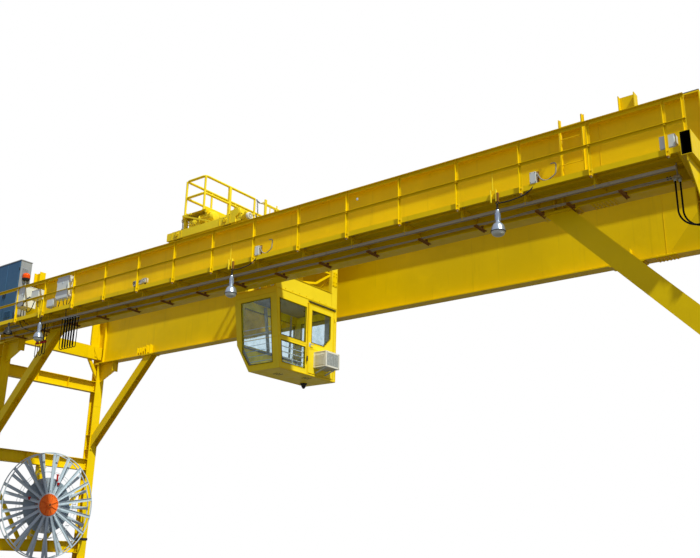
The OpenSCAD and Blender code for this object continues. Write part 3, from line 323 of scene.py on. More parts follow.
class Piece:
    """Gathers the faces of one visual piece, in metres in the crane's frame."""

    def __init__(self, name, mat, body="crane_frame"):
        self.name, self.body = name, body
        self.verts, self.faces, self.index, self.smooth = [], [], [], []
        self.mats = []
        self.use(mat)

    def use(self, mat):
        if mat not in self.mats:
            self.mats.append(mat)
        self.current = self.mats.index(mat)
        return self

    def add(self, verts, faces, smooth=False):
        start = len(self.verts)
        self.verts.extend(tuple(v) for v in verts)
        for face in faces:
            self.faces.append([start + i for i in face])
            self.index.append(self.current)
            self.smooth.append(smooth)

    def block(self, x0, x1, y0, y1, z0, z1, c=0.0):
        """Box between two corners, in either order, with its edges chamfered by c."""
        lo, hi = Vector((x0, y0, z0)), Vector((x1, y1, z1))
        self.obox((lo + hi) / 2, Vector(abs(v) for v in hi - lo), Matrix.Identity(3), c)

    def obox(self, centre, size, turn, c=0.0):
        c = min(c, 0.45 * min(size))
        centre = Vector(centre)
        if c <= 0:
            corners = [Vector((sx * size[0], sy * size[1], sz * size[2])) / 2
                       for sx in (-1, 1) for sy in (-1, 1) for sz in (-1, 1)]
            faces = [(0, 1, 3, 2), (4, 6, 7, 5), (0, 4, 5, 1), (2, 3, 7, 6), (0, 2, 6, 4), (1, 5, 7, 3)]
            self.add([centre + turn @ v for v in corners], faces)
            return
        verts, key = [], {}
        for sx in (-1, 1):
            for sy in (-1, 1):
                for sz in (-1, 1):
                    for axis in range(3):
                        v = [sx * size[0] / 2, sy * size[1] / 2, sz * size[2] / 2]
                        for other in range(3):
                            if other != axis:
                                v[other] -= (sx, sy, sz)[other] * c
                        key[(sx, sy, sz, axis)] = len(verts)
                        verts.append(centre + turn @ Vector(v))
        faces = []
        for axis in range(3):
            a, b = [(1, 2), (0, 2), (0, 1)][axis]
            for s in (-1, 1):
                ring = []
                for p, q in ((-1, -1), (1, -1), (1, 1), (-1, 1)):
                    signs = [0, 0, 0]
                    signs[axis], signs[a], signs[b] = s, p, q
                    ring.append(key[(*signs, axis)])
                faces.append(ring)
            for p in (-1, 1):
                for q in (-1, 1):
                    ring = []
                    for s, which in ((-1, a), (1, a), (1, b), (-1, b)):
                        signs = [0, 0, 0]
                        signs[axis], signs[a], signs[b] = s, p, q
                        ring.append(key[(*signs, which)])
                    faces.append(ring)
        for signs in [(x, y, z) for x in (-1, 1) for y in (-1, 1) for z in (-1, 1)]:
            faces.append([key[(*signs, axis)] for axis in range(3)])
        self.add(verts, faces)

    def bar(self, a, b, w, h, c=0.0, up=UP):
        """Square bar from a to b, w wide and h high."""
        a, b = Vector(a), Vector(b)
        x = (b - a).normalized()
        z = Vector(up)
        y = z.cross(x).normalized()
        z = x.cross(y)
        self.obox((a + b) / 2, Vector(((b - a).length, w, h)), Matrix((x, y, z)).transposed(), c)

    def prism(self, points, along):
        """Polygon of 3-D points, pushed along a vector."""
        along = Vector(along)
        n = len(points)
        low = [Vector(p) for p in points]
        verts = low + [p + along for p in low]
        faces = [list(range(n))[::-1], list(range(n, 2 * n))]
        faces += [(i, (i + 1) % n, n + (i + 1) % n, n + i) for i in range(n)]
        self.add(verts, faces)

    def spin(self, origin, axis, profile, n=24):
        """Profile of (radius, height) turned about an axis, closed at both ends."""
        z = Vector(axis).normalized()
        x = z.orthogonal().normalized()
        y = z.cross(x)
        origin = Vector(origin)
        verts, faces, rows = [], [], []
        for r, h in profile:
            count = n if r > 0 else 1
            rows.append([len(verts) + i % count for i in range(n)])
            for i in range(count):
                a = 2 * pi * i / n
                verts.append(origin + z * h + (x * cos(a) + y * sin(a)) * r)
        for low, high in zip(rows, rows[1:]):
            for i in range(n):
                j = (i + 1) % n
                face = (low[i], low[j], high[j], high[i])
                faces.append([v for k, v in enumerate(face) if v != face[k - 1]])
        for row in (rows[0], rows[-1]):
            if row[0] != row[1]:
                faces.append(row)
        self.add(verts, faces, n > 6)

    def rod(self, a, b, r, n=16, r2=None):
        a, b = Vector(a), Vector(b)
        self.spin(a, b - a, [(r, 0.0), (r if r2 is None else r2, (b - a).length)], n)

    def ring(self, origin, axis, r, tube, n=40, m=8):
        """Torus."""
        z = Vector(axis).normalized()
        x = z.orthogonal().normalized()
        y = z.cross(x)
        origin = Vector(origin)
        verts, faces = [], []
        for i in range(n):
            a = 2 * pi * i / n
            out = x * cos(a) + y * sin(a)
            for k in range(m):
                b = 2 * pi * k / m
                verts.append(origin + out * (r + tube * cos(b)) + z * tube * sin(b))
        for i in range(n):
            for k in range(m):
                faces.append((i * m + k, ((i + 1) % n) * m + k, ((i + 1) % n) * m + (k + 1) % m, i * m + (k + 1) % m))
        self.add(verts, faces, True)

    def tube(self, path, r, n=10):
        """Round tube through the points of a path."""
        path = [Vector(p) for p in path]
        normal = None
        verts, faces = [], []
        for i, p in enumerate(path):
            t = (path[min(i + 1, len(path) - 1)] - path[max(i - 1, 0)]).normalized()
            if normal is None:
                normal = t.orthogonal().normalized()
            normal = (normal - t * normal.dot(t)).normalized()
            side = t.cross(normal)
            for k in range(n):
                a = 2 * pi * k / n
                verts.append(p + (normal * cos(a) + side * sin(a)) * r)
        for i in range(len(path) - 1):
            for k in range(n):
                j = (k + 1) % n
                faces.append((i * n + k, i * n + j, (i + 1) * n + j, (i + 1) * n + k))
        faces.append(list(range(n))[::-1])
        faces.append([(len(path) - 1) * n + k for k in range(n)])
        self.add(verts, faces, True)

    def loop(self, points, normal, w, d):
        """Flat frame with mitred corners along a closed outline, w wide and d thick."""
        normal = Vector(normal).normalized()
        pts = [Vector(q) for q in points]
        n = len(pts)
        verts = []
        for i in range(n):
            e1 = (pts[i] - pts[i - 1]).normalized()
            e2 = (pts[(i + 1) % n] - pts[i]).normalized()
            n1, n2 = normal.cross(e1), normal.cross(e2)
            m = (n1 + n2) / (1 + n1.dot(n2))
            low, high = pts[i] - m * w / 2, pts[i] + m * w / 2
            verts += [low, high, high + normal * d, low + normal * d]
        faces = []
        for i in range(n):
            j = (i + 1) % n
            faces += [(4 * i + k, 4 * i + (k + 1) % 4, 4 * j + (k + 1) % 4, 4 * j + k) for k in range(4)]
        self.add(verts, faces)

    def bolt(self, at, normal, d=0.024, washer=True):
        at, normal = Vector(at), Vector(normal).normalized()
        if washer:
            self.spin(at, normal, [(d * 1.05, 0.0), (d * 1.05, d * 0.16)], 12)
        self.spin(at + normal * d * 0.14, normal, [(d * 0.86, 0.0), (d * 0.86, d * 0.55), (d * 0.7, d * 0.68)], 6)

    def fins(self, centre, axis, count, radius, size):
        """Thin blocks round an axis, such as a motor's cooling fins."""
        for k in range(count):
            a = radians(360 / count * k)
            out = {"X": (0, cos(a), sin(a)), "Y": (cos(a), 0, sin(a)), "Z": (cos(a), sin(a), 0)}[axis]
            self.obox(Vector(centre) + Vector(out) * radius, size, turned(-a if axis == "Y" else a, axis))

    def bolt_circle(self, centre, normal, radius, count, d, start=0):
        """Bolts round a centre; the normal is along X, Y or Z, and the first bolt is at start degrees."""
        for k in range(count):
            a = radians(360 / count * k + start)
            u, v = radius * cos(a), radius * sin(a)
            offset = (0, u, v) if normal[0] else (u, 0, v) if normal[1] else (u, v, 0)
            self.bolt([m + o for m, o in zip(centre, offset)], normal, d)

    def done(self):
        mesh = bpy.data.meshes.new(self.name)
        mesh.from_pydata(self.verts, [], self.faces)
        for mat in self.mats:
            mesh.materials.append(MATS[mat])
        mesh.polygons.foreach_set("material_index", self.index)
        mesh.polygons.foreach_set("use_smooth", self.smooth)
        bm = bmesh.new()
        bm.from_mesh(mesh)
        bmesh.ops.recalc_face_normals(bm, faces=bm.faces)
        bm.to_mesh(mesh)
        bm.free()
        mesh.set_sharp_from_angle(angle=radians(40))
        obj = bpy.data.objects.new(self.name, mesh)
        bpy.context.scene.collection.objects.link(obj)
        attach(obj, self.body)
        return obj


def cord_mesh(name, mat, path, d, body="crane_frame", hides=()):
    """A cable as a mesh tube."""
    p = Piece(name, mat, body)
    p.tube(path, d / 2, 10)
    obj = p.done()
    if hides:
        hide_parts(*hides)
    return obj


def rounded(points, r, n=6):
    """Open path whose inner corners are rounded."""
    points = [Vector(q) for q in points]
    path = [points[0]]
    for a, q, c in zip(points, points[1:], points[2:]):
        start, end = q + (a - q).normalized() * r, q + (c - q).normalized() * r
        path += [start * (1 - t) ** 2 + q * 2 * t * (1 - t) + end * t * t for t in (k / n for k in range(n + 1))]
    return path + [points[-1]]


def arc(centre, u, v, r, a0, a1, n=12):
    """Points of an arc in the plane of the unit vectors u and v."""
    centre, u, v = Vector(centre), Vector(u), Vector(v)
    return [centre + (u * cos(radians(a0 + (a1 - a0) * i / n))
                      + v * sin(radians(a0 + (a1 - a0) * i / n))) * r for i in range(n + 1)]


# The crane's main places, as in the CAD
LEG_X, GIRDER_Y = 11.87, 2.0
ARMS = [8.57 - 1.472 * i for i in range(14)] + [9.27, 10.38]
POSTS = [9.97 - 1.524 * i for i in range(15) if 9.97 - 1.524 * i > -11.585]
END_POSTS = [11.49, -11.835]

# ---------------------------------------------------------------- cords

TRACK_Y, TRACK_Z = -2.75, 8.94
for i in range(6):
    x, low, r = -7.49 + 0.13 * i, 7.978, 0.06
    path = [(x, TRACK_Y - r, 8.888 - 0.091 * k) for k in range(11)]
    path += arc((x, TRACK_Y, low), TO_FRONT, DOWN, r, 9, 171, 18)
    path += [(x, TRACK_Y + r, low + 0.091 * k) for k in range(11)]
    cord_mesh("festoon_loop_%d" % (i + 1), "cable", path, 0.027, hides=("festoon_cables",) if i == 0 else ())
for i in range(2):
    x, y = 11.49 - 0.07 * i, -2.28 - 0.09 * i
    path = [(x, y, 8.89 - 0.065 * k) for k in range(11)]
    path += arc((x + 0.38, y, 8.24), LEFT, DOWN, 0.38, 4, 90, 24)
    path += [(11.878, y, 7.86)]
    cord_mesh("supply_cable_%d" % (i + 1), "cable", path, 0.036, hides=("supply_cables",) if i == 0 else ())
for i, x in enumerate((-8.8, -8.57, -8.4)):
    top, low, r = 8.9, 7.9 + 0.03 * i, 0.065
    path = [(x - r, TRACK_Y, top + (low - top) * k / 10) for k in range(11)]
    path += arc((x, TRACK_Y, low), LEFT, DOWN, r, 9, 171, 18)
    path += [(x + r, TRACK_Y, low + (top - low) * k / 10) for k in range(11)]
    cord_mesh("control_loop_%d" % (i + 1), "cable", path, 0.022)

# ---------------------------------------------------------------- girders

for side, name in ((-1, "near"), (1, "far")):
    p = Piece(name + "_girder_seams", "yellow_paint")
    y = side * GIRDER_Y
    for x in (-9.2, -4.9, -0.6, 4.3, 8.75):
        for face in (-1, 1):
            y0 = y + face * 0.007
            p.block(*span(x, 0.008), y0, y0 + face * 0.002, 8.9, 10.72)
    for x in (-11.6, 11.6):
        p.block(*span(x, 0.006), y - side * 0.007, y - side * 0.09, 8.905, 10.7)
    for face in (-1, 1):
        y0, y1 = y + face * 0.007, y + face * 0.014
        for z0, z1 in ((8.9, 8.908), (10.712, 10.72)):
            p.block(-11.98, 11.98, y0, y1, z0, z1)
    p.done()
    p = Piece(name + "_flange_splices", "yellow_paint")
    for x in (-9.86 if side < 0 else -4.0, 9.86):
        p.block(*span(x, 0.26), *span(y, 0.165), 8.858, 8.87, 0.003)
        for face in (-1, 1):
            p.block(*span(x, 0.26), y + face * 0.02, y + face * 0.165, 8.9, 8.912, 0.003)
        for i in range(6):
            for dy in (-0.125, -0.06, 0.06, 0.125):
                at = x - 0.215 + 0.086 * i
                p.bolt((at, y + dy, 8.858), DOWN, 0.026)
                p.bolt((at, y + dy, 8.912), UP, 0.026)
    for x in (9.86, -4.0 if side > 0 else -9.86):
        for face in (-1, 1):
            p.block(*span(x, 0.004), y + face * 0.007, y + face * 0.015, 8.9, 10.72)
    # Painted shadow: a thin darker plate on the web's inner face at the girder's right end
    p.use("painted_shadow_yellow")
    y0, y1 = sorted((y - side * 0.008, y - side * 0.016))
    p.prism([(9.88, y0, 8.912), (11.05, y0, 10.35), (11.75, y0, 10.35), (11.75, y0, 8.912)], (0, y1 - y0, 0))
    p.done()

# Arms under the near flange that carry the conduit: their brown is partly rust and partly painted shade
p = Piece("conduit_arms", "brown_steel")
for x in ARMS:
    p.block(*span(x, 0.035), -2.52, -2.03, 8.856, 8.868, 0.002)
    p.block(x - 0.035, x - 0.027, -2.52, -2.03, 8.825, 8.858, 0.002)
    p.bolt((x + 0.006, -2.1, 8.856), DOWN, 0.022)
    p.block(*span(x, 0.028), -2.215, -2.17, 8.868, 8.935, 0.004)
    p.rod((x + 0.006, -2.19, 8.94), (x + 0.006, -2.19, 8.82), 0.008, 8)
    p.use("dark_steel")
    p.ring((x, -2.4, 8.893), RIGHT, 0.026, 0.005, 16, 6)
    p.bolt((x, -2.45, 8.868), UP, 0.014)
    p.use("brown_steel")
p.done()

# ---------------------------------------------------------------- conduit and track

CONDUIT_Z = 8.893
p = Piece("conduit_run", "track_grey")
p.rod((-11.55, -2.4, CONDUIT_Z), (11.42, -2.4, CONDUIT_Z), 0.022, 14)
for k in range(8):
    x = -11.0 + 3.05 * k
    p.rod((x - 0.05, -2.4, CONDUIT_Z), (x + 0.05, -2.4, CONDUIT_Z), 0.031, 14)
p.tube([(-11.5 + 23.0 * k / 60, -2.475, 8.882 + 0.012 * cos(k * 1.07)) for k in range(61)], 0.01, 8)
p.done()

# Festoon rail: a C-section with its hangers, joints and stops, and the loops' carriers
p = Piece("festoon_rail", "track_grey")
half, t = 0.0315, 0.005
section = [(-half, 0.0315), (-half, -0.0315), (-0.01, -0.0315), (-0.01, -0.0315 + t), (-half + t, -0.0315 + t),
           (-half + t, 0.0315 - t), (half - t, 0.0315 - t), (half - t, -0.0315 + t), (0.01, -0.0315 + t),
           (0.01, -0.0315), (half, -0.0315), (half, 0.0315)]
p.prism([(-11.685, TRACK_Y + y, TRACK_Z + z) for y, z in section], (23.255, 0, 0))
for x in POSTS:
    p.use("yellow_paint")
    for s in (-1, 1):
        p.block(*span(x, 0.014), TRACK_Y + s * 0.0315, TRACK_Y + s * 0.036, 8.92, 9.238)
    p.use("track_grey")
    p.block(*span(x, 0.045), *span(TRACK_Y, 0.045), 8.9715, 8.978, 0.002)
    p.block(*span(x, 0.05), *span(TRACK_Y, 0.05), 9.23, 9.239, 0.002)
    for dy in (-0.036, 0.036):
        p.bolt((x, TRACK_Y + dy, 8.94), (0, dy, 0), 0.012)
for x in (-7.2, -1.3, 4.8, 10.2):
    p.block(*span(x, 0.09), *span(TRACK_Y, 0.036), 8.912, 8.974, 0.003)
    for dx in (-0.06, 0.06):
        p.bolt((x + dx, TRACK_Y - 0.036, 8.94), TO_FRONT, 0.012)
for x in (-11.67, 11.555):
    p.block(*span(x, 0.015), *span(TRACK_Y, 0.04), 8.9, 8.98, 0.004)
rail = p.done()
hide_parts("festoon_track")

p = Piece("festoon_carriers", "galvanised")
for i in range(6):
    x = -7.49 + 0.13 * i
    p.use("galvanised")
    p.block(*span(x, 0.025), *span(TRACK_Y, 0.09), 8.884, 8.906, 0.003)
    p.block(*span(x, 0.012), *span(TRACK_Y, 0.006), 8.9, 8.935)
    p.use("rubber")
    for dy in (-0.06, 0.06):
        p.block(*span(x, 0.022), TRACK_Y + dy - 0.02, TRACK_Y + dy + 0.02, 8.862, 8.886, 0.004)
p.use("red_motor")
for x in (-8.8, -8.57, -8.4):
    p.block(*span(x, 0.085), *span(TRACK_Y, 0.025), 8.26, 8.31, 0.008)
    p.block(*span(x, 0.02), *span(TRACK_Y, 0.018), 8.31, 8.36, 0.006)
p.done()

# Junction box at the track's end and the box on the near right leg
p = Piece("supply_boxes", "track_grey")
p.block(11.4, 11.53, -2.4, -2.24, 8.9, 8.96, 0.01)
p.block(11.45, 11.48, -2.34, -2.31, 8.96, 9.235, 0.004)
for i in range(2):
    x, y = 11.49 - 0.07 * i, -2.28 - 0.09 * i
    p.use("galvanised")
    p.spin((x, y, 8.9), DOWN, [(0.03, 0), (0.03, 0.035), (0.024, 0.06)], 12)
    p.spin((11.878, y, 7.86), LEFT, [(0.034, 0), (0.034, 0.03), (0.026, 0.06)], 12)
    p.block(11.845, 11.86, *span(y, 0.045), 7.82, 7.9, 0.004)
p.use("grey_box")
p.block(11.878, 12.018, -2.43, -2.17, 7.7, 8.02, 0.006)
p.block(11.9, 12.0, -2.438, -2.428, 7.72, 8.0, 0.003)
for z in (7.74, 7.98):
    for x in (11.91, 11.99):
        p.bolt((x, -2.438, z), TO_FRONT, 0.012)
p.use("dark_steel")
for x in (11.3, 11.36):
    p.block(*span(x, 0.014), -2.46, -2.36, 8.88, 8.93, 0.003)
p.done()

# ---------------------------------------------------------------- walkway, handrail and ladder

p = Piece("walkway_fittings", "yellow_paint")
for x in POSTS + END_POSTS:
    p.block(x - 0.012, x + 0.067, -3.012, -3.001, 9.07, 9.235, 0.002)
    for z in (9.1, 9.2):
        p.bolt((x + 0.028, -3.012, z), TO_FRONT, 0.02)
    for z in (9.735, 10.245):
        p.bolt((x + 0.028, -3.056, z), TO_FRONT, 0.014)
p.use("brown_steel")
for x in POSTS + END_POSTS:
    p.block(x - 0.004, x + 0.058, -3.052, -3.002, 9.048, 9.088, 0.008)
    p.use("pale_feet")
    p.bolt((x + 0.04, -3.04, 9.05), DOWN, 0.02)
    p.use("brown_steel")
p.use("yellow_paint")
for y in (-2.66, -2.32):
    p.block(-11.9, 11.7, *span(y, 0.003), 9.19, 9.239)
    p.block(-11.9, 11.7, y, y + 0.045, 9.19, 9.196)
for k in range(16):
    x = -11.2 + 1.524 * k
    p.block(*span(x, 0.004), -2.985, -2.01, 9.234, 9.2395)
p.prism([(11.7, -2.98, 9.238), (11.7, -2.22, 9.238), (11.7, -2.22, 8.905), (11.7, -2.3, 8.885),
         (11.7, -2.98, 9.13)], (0.012, 0, 0))
p.bar((11.73, -2.98, 9.125), (11.73, -2.24, 8.885), 0.09, 0.01)
p.done()

p = Piece("handrail_clips", "yellow_paint")
for x in POSTS:
    for z in (9.745, 10.265):
        p.block(x + 0.004, x + 0.05, -3.018, -3.006, *span(z, 0.03), 0.002)
        p.bolt((x + 0.028, -3.0, z), BACK, 0.013)
p.use("galvanised")
for x in (-9.6, -7.4, 4.2):
    p.block(*span(x, 0.02), -3.03, -3.0, 9.99, 10.05, 0.003)
p.done()

p = Piece("ladder_fittings", "yellow_paint")
for s in (-1, 1):
    x = LADDER_X + s * 0.262
    p.block(*span(x, 0.006), -2.305, -2.235, 9.26, 10.93, 0.002)
    p.block(*span(x, 0.035), -2.24, -2.23, 9.26, 10.93, 0.002)
    x = LADDER_X + s * 0.244
    for z in (9.5, 10.72):
        p.block(*span(x, 0.03), -2.245, -2.23, *span(z, 0.05), 0.003)
        for dz in (-0.03, 0.03):
            p.bolt((x + 0.012 * s, -2.262, z + dz), TO_FRONT, 0.014)
    p.block(*span(x, 0.02), -2.3, -2.24, 9.25, 9.262, 0.002)
for k in range(5):
    z = 9.55 + 0.3 * k
    for s in (-1, 1):
        p.spin((LADDER_X + s * 0.236, -2.27, z), (s, 0, 0), [(0.018, -0.004), (0.018, 0.004)], 12)
p.done()

# ---------------------------------------------------------------- cabinet and boxes

p = Piece("cabinet_fittings", "cabinet_paint")
p.block(-12.0, -10.51, -2.69, -2.23, 11.5, 11.535, 0.006)
p.block(-11.985, -10.525, -2.67, -2.25, 9.235, 9.31, 0.004)
p.use("cabinet_blue")
p.block(-11.996, -10.518, -2.676, -2.671, 9.245, 11.498, 0.001)
for x0, x1 in ((-11.955, -11.27), (-11.24, -10.555)):
    p.block(x0, x1, -2.688, -2.674, 9.36, 11.45, 0.005)
for x in (-11.62, -10.9):
    p.block(*span(x, 0.2), -2.697, -2.686, 9.5, 9.74, 0.003)
    for k in range(7):
        z = 9.52 + 0.032 * k
        p.prism([(x - 0.18, -2.697, z), (x - 0.18, -2.71, z - 0.004), (x - 0.18, -2.697, z + 0.018)], (0.36, 0, 0))
p.use("cabinet_paint")
p.block(-10.527, -10.513, -2.64, -2.28, 9.38, 11.44, 0.004)
for k in range(9):
    z = 10.95 + 0.035 * k
    p.prism([(-10.513, -2.6, z), (-10.502, -2.6, z - 0.004), (-10.513, -2.6, z + 0.018)], (0, 0.22, 0))
p.use("dark_steel")
for x in (-11.31, -11.2):
    p.block(*span(x, 0.015), -2.712, -2.688, 10.25, 10.45, 0.004)
for z in (9.6, 10.4, 11.2):
    p.rod((-11.957, -2.69, z - 0.05), (-11.957, -2.69, z + 0.05), 0.011, 10)
    p.rod((-10.553, -2.69, z - 0.05), (-10.553, -2.69, z + 0.05), 0.011, 10)
p.use("galvanised")
p.block(-10.513, -10.39, -2.5, -2.42, 10.84, 10.87, 0.004)
p.block(-10.51, -10.5, -2.55, -2.37, 10.72, 10.98, 0.003)
p.rod((*BEACON, 10.25), (*BEACON, 10.8), 0.016, 10)
for z in (10.3, 10.55):
    p.block(-10.513, -10.42, -2.49, -2.43, z, z + 0.02, 0.002)
p.use("dark_steel")
p.spin((*BEACON, 10.8), UP, [(0.095, 0), (0.115, 0.02), (0.115, 0.05), (0.128, 0.06), (0.128, 0.075)], 24)
p.use("orange_lens")
p.spin((*BEACON, 10.87), UP, [(0.122, 0), (0.13, 0.03), (0.128, 0.11), (0.108, 0.165), (0.056, 0.195),
                                           (0.0, 0.205)], 28)
for k in range(4):
    p.ring((*BEACON, 10.9 + 0.025 * k), UP, 0.129, 0.004, 28, 6)
p.done()

p = Piece("control_box_fittings", "grey_box")
# The two small boxes on the walkway's edge
for x in (8.75, 0.96):
    p.use("grey_box")
    p.block(*span(x, 0.07), -3.012, -2.995, 9.255, 9.505, 0.004)
    p.use("dark_steel")
    for dx in (-0.055, 0.055):
        for z in (9.275, 9.485):
            p.bolt((x + dx, -3.012, z), TO_FRONT, 0.008)
    p.use("pale_liner")
    p.spin((x, -2.975, 9.252), DOWN, [(0.022, 0), (0.022, 0.03), (0.015, 0.05)], 12)
    p.spin((x + 0.065, -2.975, 9.44), RIGHT, [(0.022, 0), (0.022, 0.03), (0.015, 0.05)], 12)
    p.tube(rounded([(x + 0.1, -2.985, 9.44), (x + 0.17, -2.985, 9.3), (x + 0.3, -2.985, 9.24), (x + 0.5, -2.985, 9.34),
                    (x + 0.52, -2.985, 9.6), (x + 0.4, -2.985, 9.6)], 0.07), 0.013, 8)
    p.use("dark_steel")
    p.tube(rounded([(x, -2.975, 9.22), (x - 0.04, -3.01, 9.13), (x - 0.22, -3.03, 9.02), (x - 0.55, -3.03, 8.98),
                    (x - 0.79, -3.03, 8.99)], 0.07), 0.013, 8)
    p.use("brown_steel")
    p.block(*span(x, 0.1), -2.914, -2.905, 9.24, 9.54, 0.002)
# Tall box on the middle rail
p.use("grey_box")
p.block(-7.69, -7.11, -3.024, -3.006, 9.51, 10.19, 0.008)
p.block(-7.705, -7.095, -3.026, -2.86, 10.2, 10.225, 0.004)
p.use("galvanised")
for z in (9.62, 10.08):
    p.rod((-7.7, -3.02, z - 0.05), (-7.7, -3.02, z + 0.05), 0.01, 8)
p.use("white_plastic")
for z, lift in ((10.0, 0.05), (9.56, -0.02)):
    p.spin((-7.1, -2.94, z), RIGHT, [(0.045, 0), (0.045, 0.03), (0.03, 0.04)], 18)
    p.bar((-7.06, -2.94, z), (-6.94, -2.98, z + lift), 0.035, 0.05, 0.01)
    p.block(-6.97, -6.93, -3.02, -2.93, z + lift - 0.05, z + lift + 0.035, 0.012)
p.use("dark_steel")
p.block(-7.16, -7.14, -3.034, -3.022, 9.8, 9.92, 0.004)
# Large box and the small one beside it
p.use("grey_box")
p.block(-9.975, -9.505, -3.018, -2.998, 9.63, 10.27, 0.008)
p.block(-10.0, -9.48, -3.02, -2.55, 10.285, 10.31, 0.004)
p.block(-9.1, -8.68, -3.0, -2.82, 9.73, 10.05, 0.01)
p.block(-9.09, -8.69, -3.012, -2.996, 9.745, 10.035, 0.006)
p.block(-8.18, -7.8, -3.0, -2.86, 9.32, 9.59, 0.02)
p.block(-8.16, -7.82, -3.014, -2.998, 9.34, 9.57, 0.01)
p.use("galvanised")
p.block(-9.49, -8.68, -2.93, -2.9, 9.86, 9.9, 0.004)
p.block(-8.02, -7.96, -2.95, -2.9, 9.25, 9.33, 0.004)
for x in (-9.9, -9.75, -9.6):
    p.spin((x, -2.8, 9.61), DOWN, [(0.026, 0), (0.026, 0.03), (0.018, 0.055)], 12)
for x in (-7.6, -7.4, -7.2, -9.0, -8.8):
    z = 9.49 if x > -8 else 9.73
    p.spin((x, -2.93, z), DOWN, [(0.022, 0), (0.022, 0.03), (0.016, 0.05)], 12)
p.use("dark_steel")
p.block(-9.53, -9.51, -3.03, -3.016, 9.9, 10.02, 0.004)
for x in (-9.05, -8.73):
    for z in (9.77, 10.01):
        p.bolt((x, -3.012, z), TO_FRONT, 0.01)
p.use("yellow_paint")
p.block(-8.62, -8.56, -3.03, -2.98, 9.14, 9.4, 0.003)
p.block(-8.48, -8.42, -3.03, -2.98, 9.14, 9.36, 0.003)
# Box by the walkway's right end
p.use("grey_box")
p.block(11.37, 11.67, -2.99, -2.8, 9.255, 9.54, 0.01)
p.block(11.385, 11.655, -3.003, -2.988, 9.27, 9.525, 0.005)
p.use("galvanised")
p.block(11.4, 11.64, -2.99, -2.85, 9.24, 9.256, 0.003)
for x in (11.45, 11.59):
    p.spin((x, -2.8, 9.35), BACK, [(0.02, 0), (0.02, 0.03), (0.014, 0.05)], 12)
    p.tube([(x, -2.76, 9.35), (x, -2.66, 9.35), (x - 0.01, -2.56, 9.33), (x - 0.03, -2.45, 9.29),
            (x - 0.05, -2.38, 9.25)], 0.011, 8)
# Fixture on the walkway's edge, left of the trolley
p.use("white_plastic")
p.block(-4.0, -3.88, -2.97, -2.87, 9.3, 9.46, 0.015)
p.block(-3.6, -3.42, -2.98, -2.87, 9.33, 9.47, 0.015)
p.use("grey_box")
p.block(-3.88, -3.6, -2.96, -2.88, 9.32, 9.45, 0.01)
p.use("dark_steel")
for x in (-3.94, -3.76, -3.52):
    p.ring((x, -2.975, 9.39), BACK, 0.04, 0.008, 18, 6)
for x in (-3.95, -3.5):
    p.block(*span(x, 0.02), -2.93, -2.9, 9.252, 9.32)
p.done()

# Flexible conduits between the boxes
p = Piece("box_conduits", "dark_steel")
for a, b, c, d in [
    ((-9.9, -2.8, 9.56), (-9.92, -2.8, 9.2), (-9.86, -2.9, 8.9), (-9.3, -2.6, 8.8)),
    ((-9.75, -2.8, 9.56), (-9.75, -2.8, 9.25), (-9.7, -2.8, 9.1), (-9.45, -2.75, 9.02)),
    ((-9.6, -2.8, 9.56), (-9.6, -2.8, 9.4), (-9.2, -2.9, 9.3), (-9.0, -2.93, 9.68)),
    ((-8.8, -2.93, 9.68), (-8.78, -2.93, 9.3), (-8.5, -2.93, 9.3), (-8.5, -2.93, 9.27)),
    ((-7.6, -2.93, 9.44), (-7.62, -2.93, 9.1), (-7.9, -2.95, 9.1), (-7.99, -2.93, 9.3)),
    ((-7.4, -2.93, 9.44), (-7.3, -2.98, 9.15), (-6.95, -2.98, 9.15), (-6.95, -2.96, 9.5)),
    ((-7.2, -2.93, 9.44), (-7.2, -2.95, 9.2), (-7.2, -2.9, 9.0), (-7.35, -2.8, 8.97)),
]:
    a, b, c, d = (Vector(v) for v in (a, b, c, d))
    path = []
    for k in range(25):
        t = k / 24
        path.append(a * (1 - t) ** 3 + b * 3 * t * (1 - t) ** 2 + c * 3 * t * t * (1 - t) + d * t ** 3)
    p.tube(path, 0.013, 8)
p.tube([(-9.55, -3.02, 9.6), (-9.35, -3.03, 9.75), (-9.15, -3.02, 9.86)], 0.012, 8)
p.done()

# ---------------------------------------------------------------- lamps

p = Piece("lamps", "polished_metal")
for x in (-8.35, 0.13, 7.92):
    y = -3.03
    p.use("yellow_machinery")
    for dx in (-0.145, -0.02):
        p.block(x + dx - 0.012, x + dx + 0.012, -3.05, -3.002, 9.04, 9.32, 0.003)
    p.rod((x - 0.1, -3.02, 9.3), (x - 0.1, -3.02, 9.76), 0.01, 10)
    p.use("brown_steel")
    p.block(*span(x, 0.035), -3.045, -3.0, 9.03, 9.24, 0.004)
    p.use("dark_steel")
    p.ring((x, y, 9.005), BACK, 0.03, 0.01, 18, 6)
    p.ring((x, y, 8.95), RIGHT, 0.03, 0.01, 18, 6)
    p.spin((x, y, 8.925), DOWN, [(0.018, 0), (0.018, 0.03), (0.032, 0.045), (0.032, 0.085), (0.045, 0.095)], 20)
    p.use("polished_metal")
    p.spin((x, y, 8.84), DOWN, [(0.04, 0), (0.047, 0.02), (0.05, 0.1), (0.05, 0.26), (0.055, 0.275),
                                      (0.055, 0.29), (0.085, 0.305), (0.118, 0.345), (0.142, 0.405), (0.155, 0.465),
                                      (0.16, 0.48), (0.16, 0.492), (0.15, 0.49), (0.12, 0.4), (0.05, 0.33),
                                      (0.0, 0.32)], 36)
    p.fins((x, y, 8.69), "Z", 12, 0.053, (0.01, 0.006, 0.15))
    p.use("lamp_glass")
    p.spin((x, y, 8.352), DOWN, [(0.146, 0), (0.144, 0.02), (0.13, 0.055), (0.1, 0.085), (0.055, 0.103),
            (0.0, 0.108)], 32)
    for k in range(3):
        p.ring((x, y, 8.335 - 0.022 * k), UP, 0.143 - 0.009 * k, 0.004, 32, 6)
    p.use("dark_steel")
    p.ring((x, y, 8.351), UP, 0.156, 0.007, 36, 6)
obj = p.done()
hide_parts("pendant_lamps")

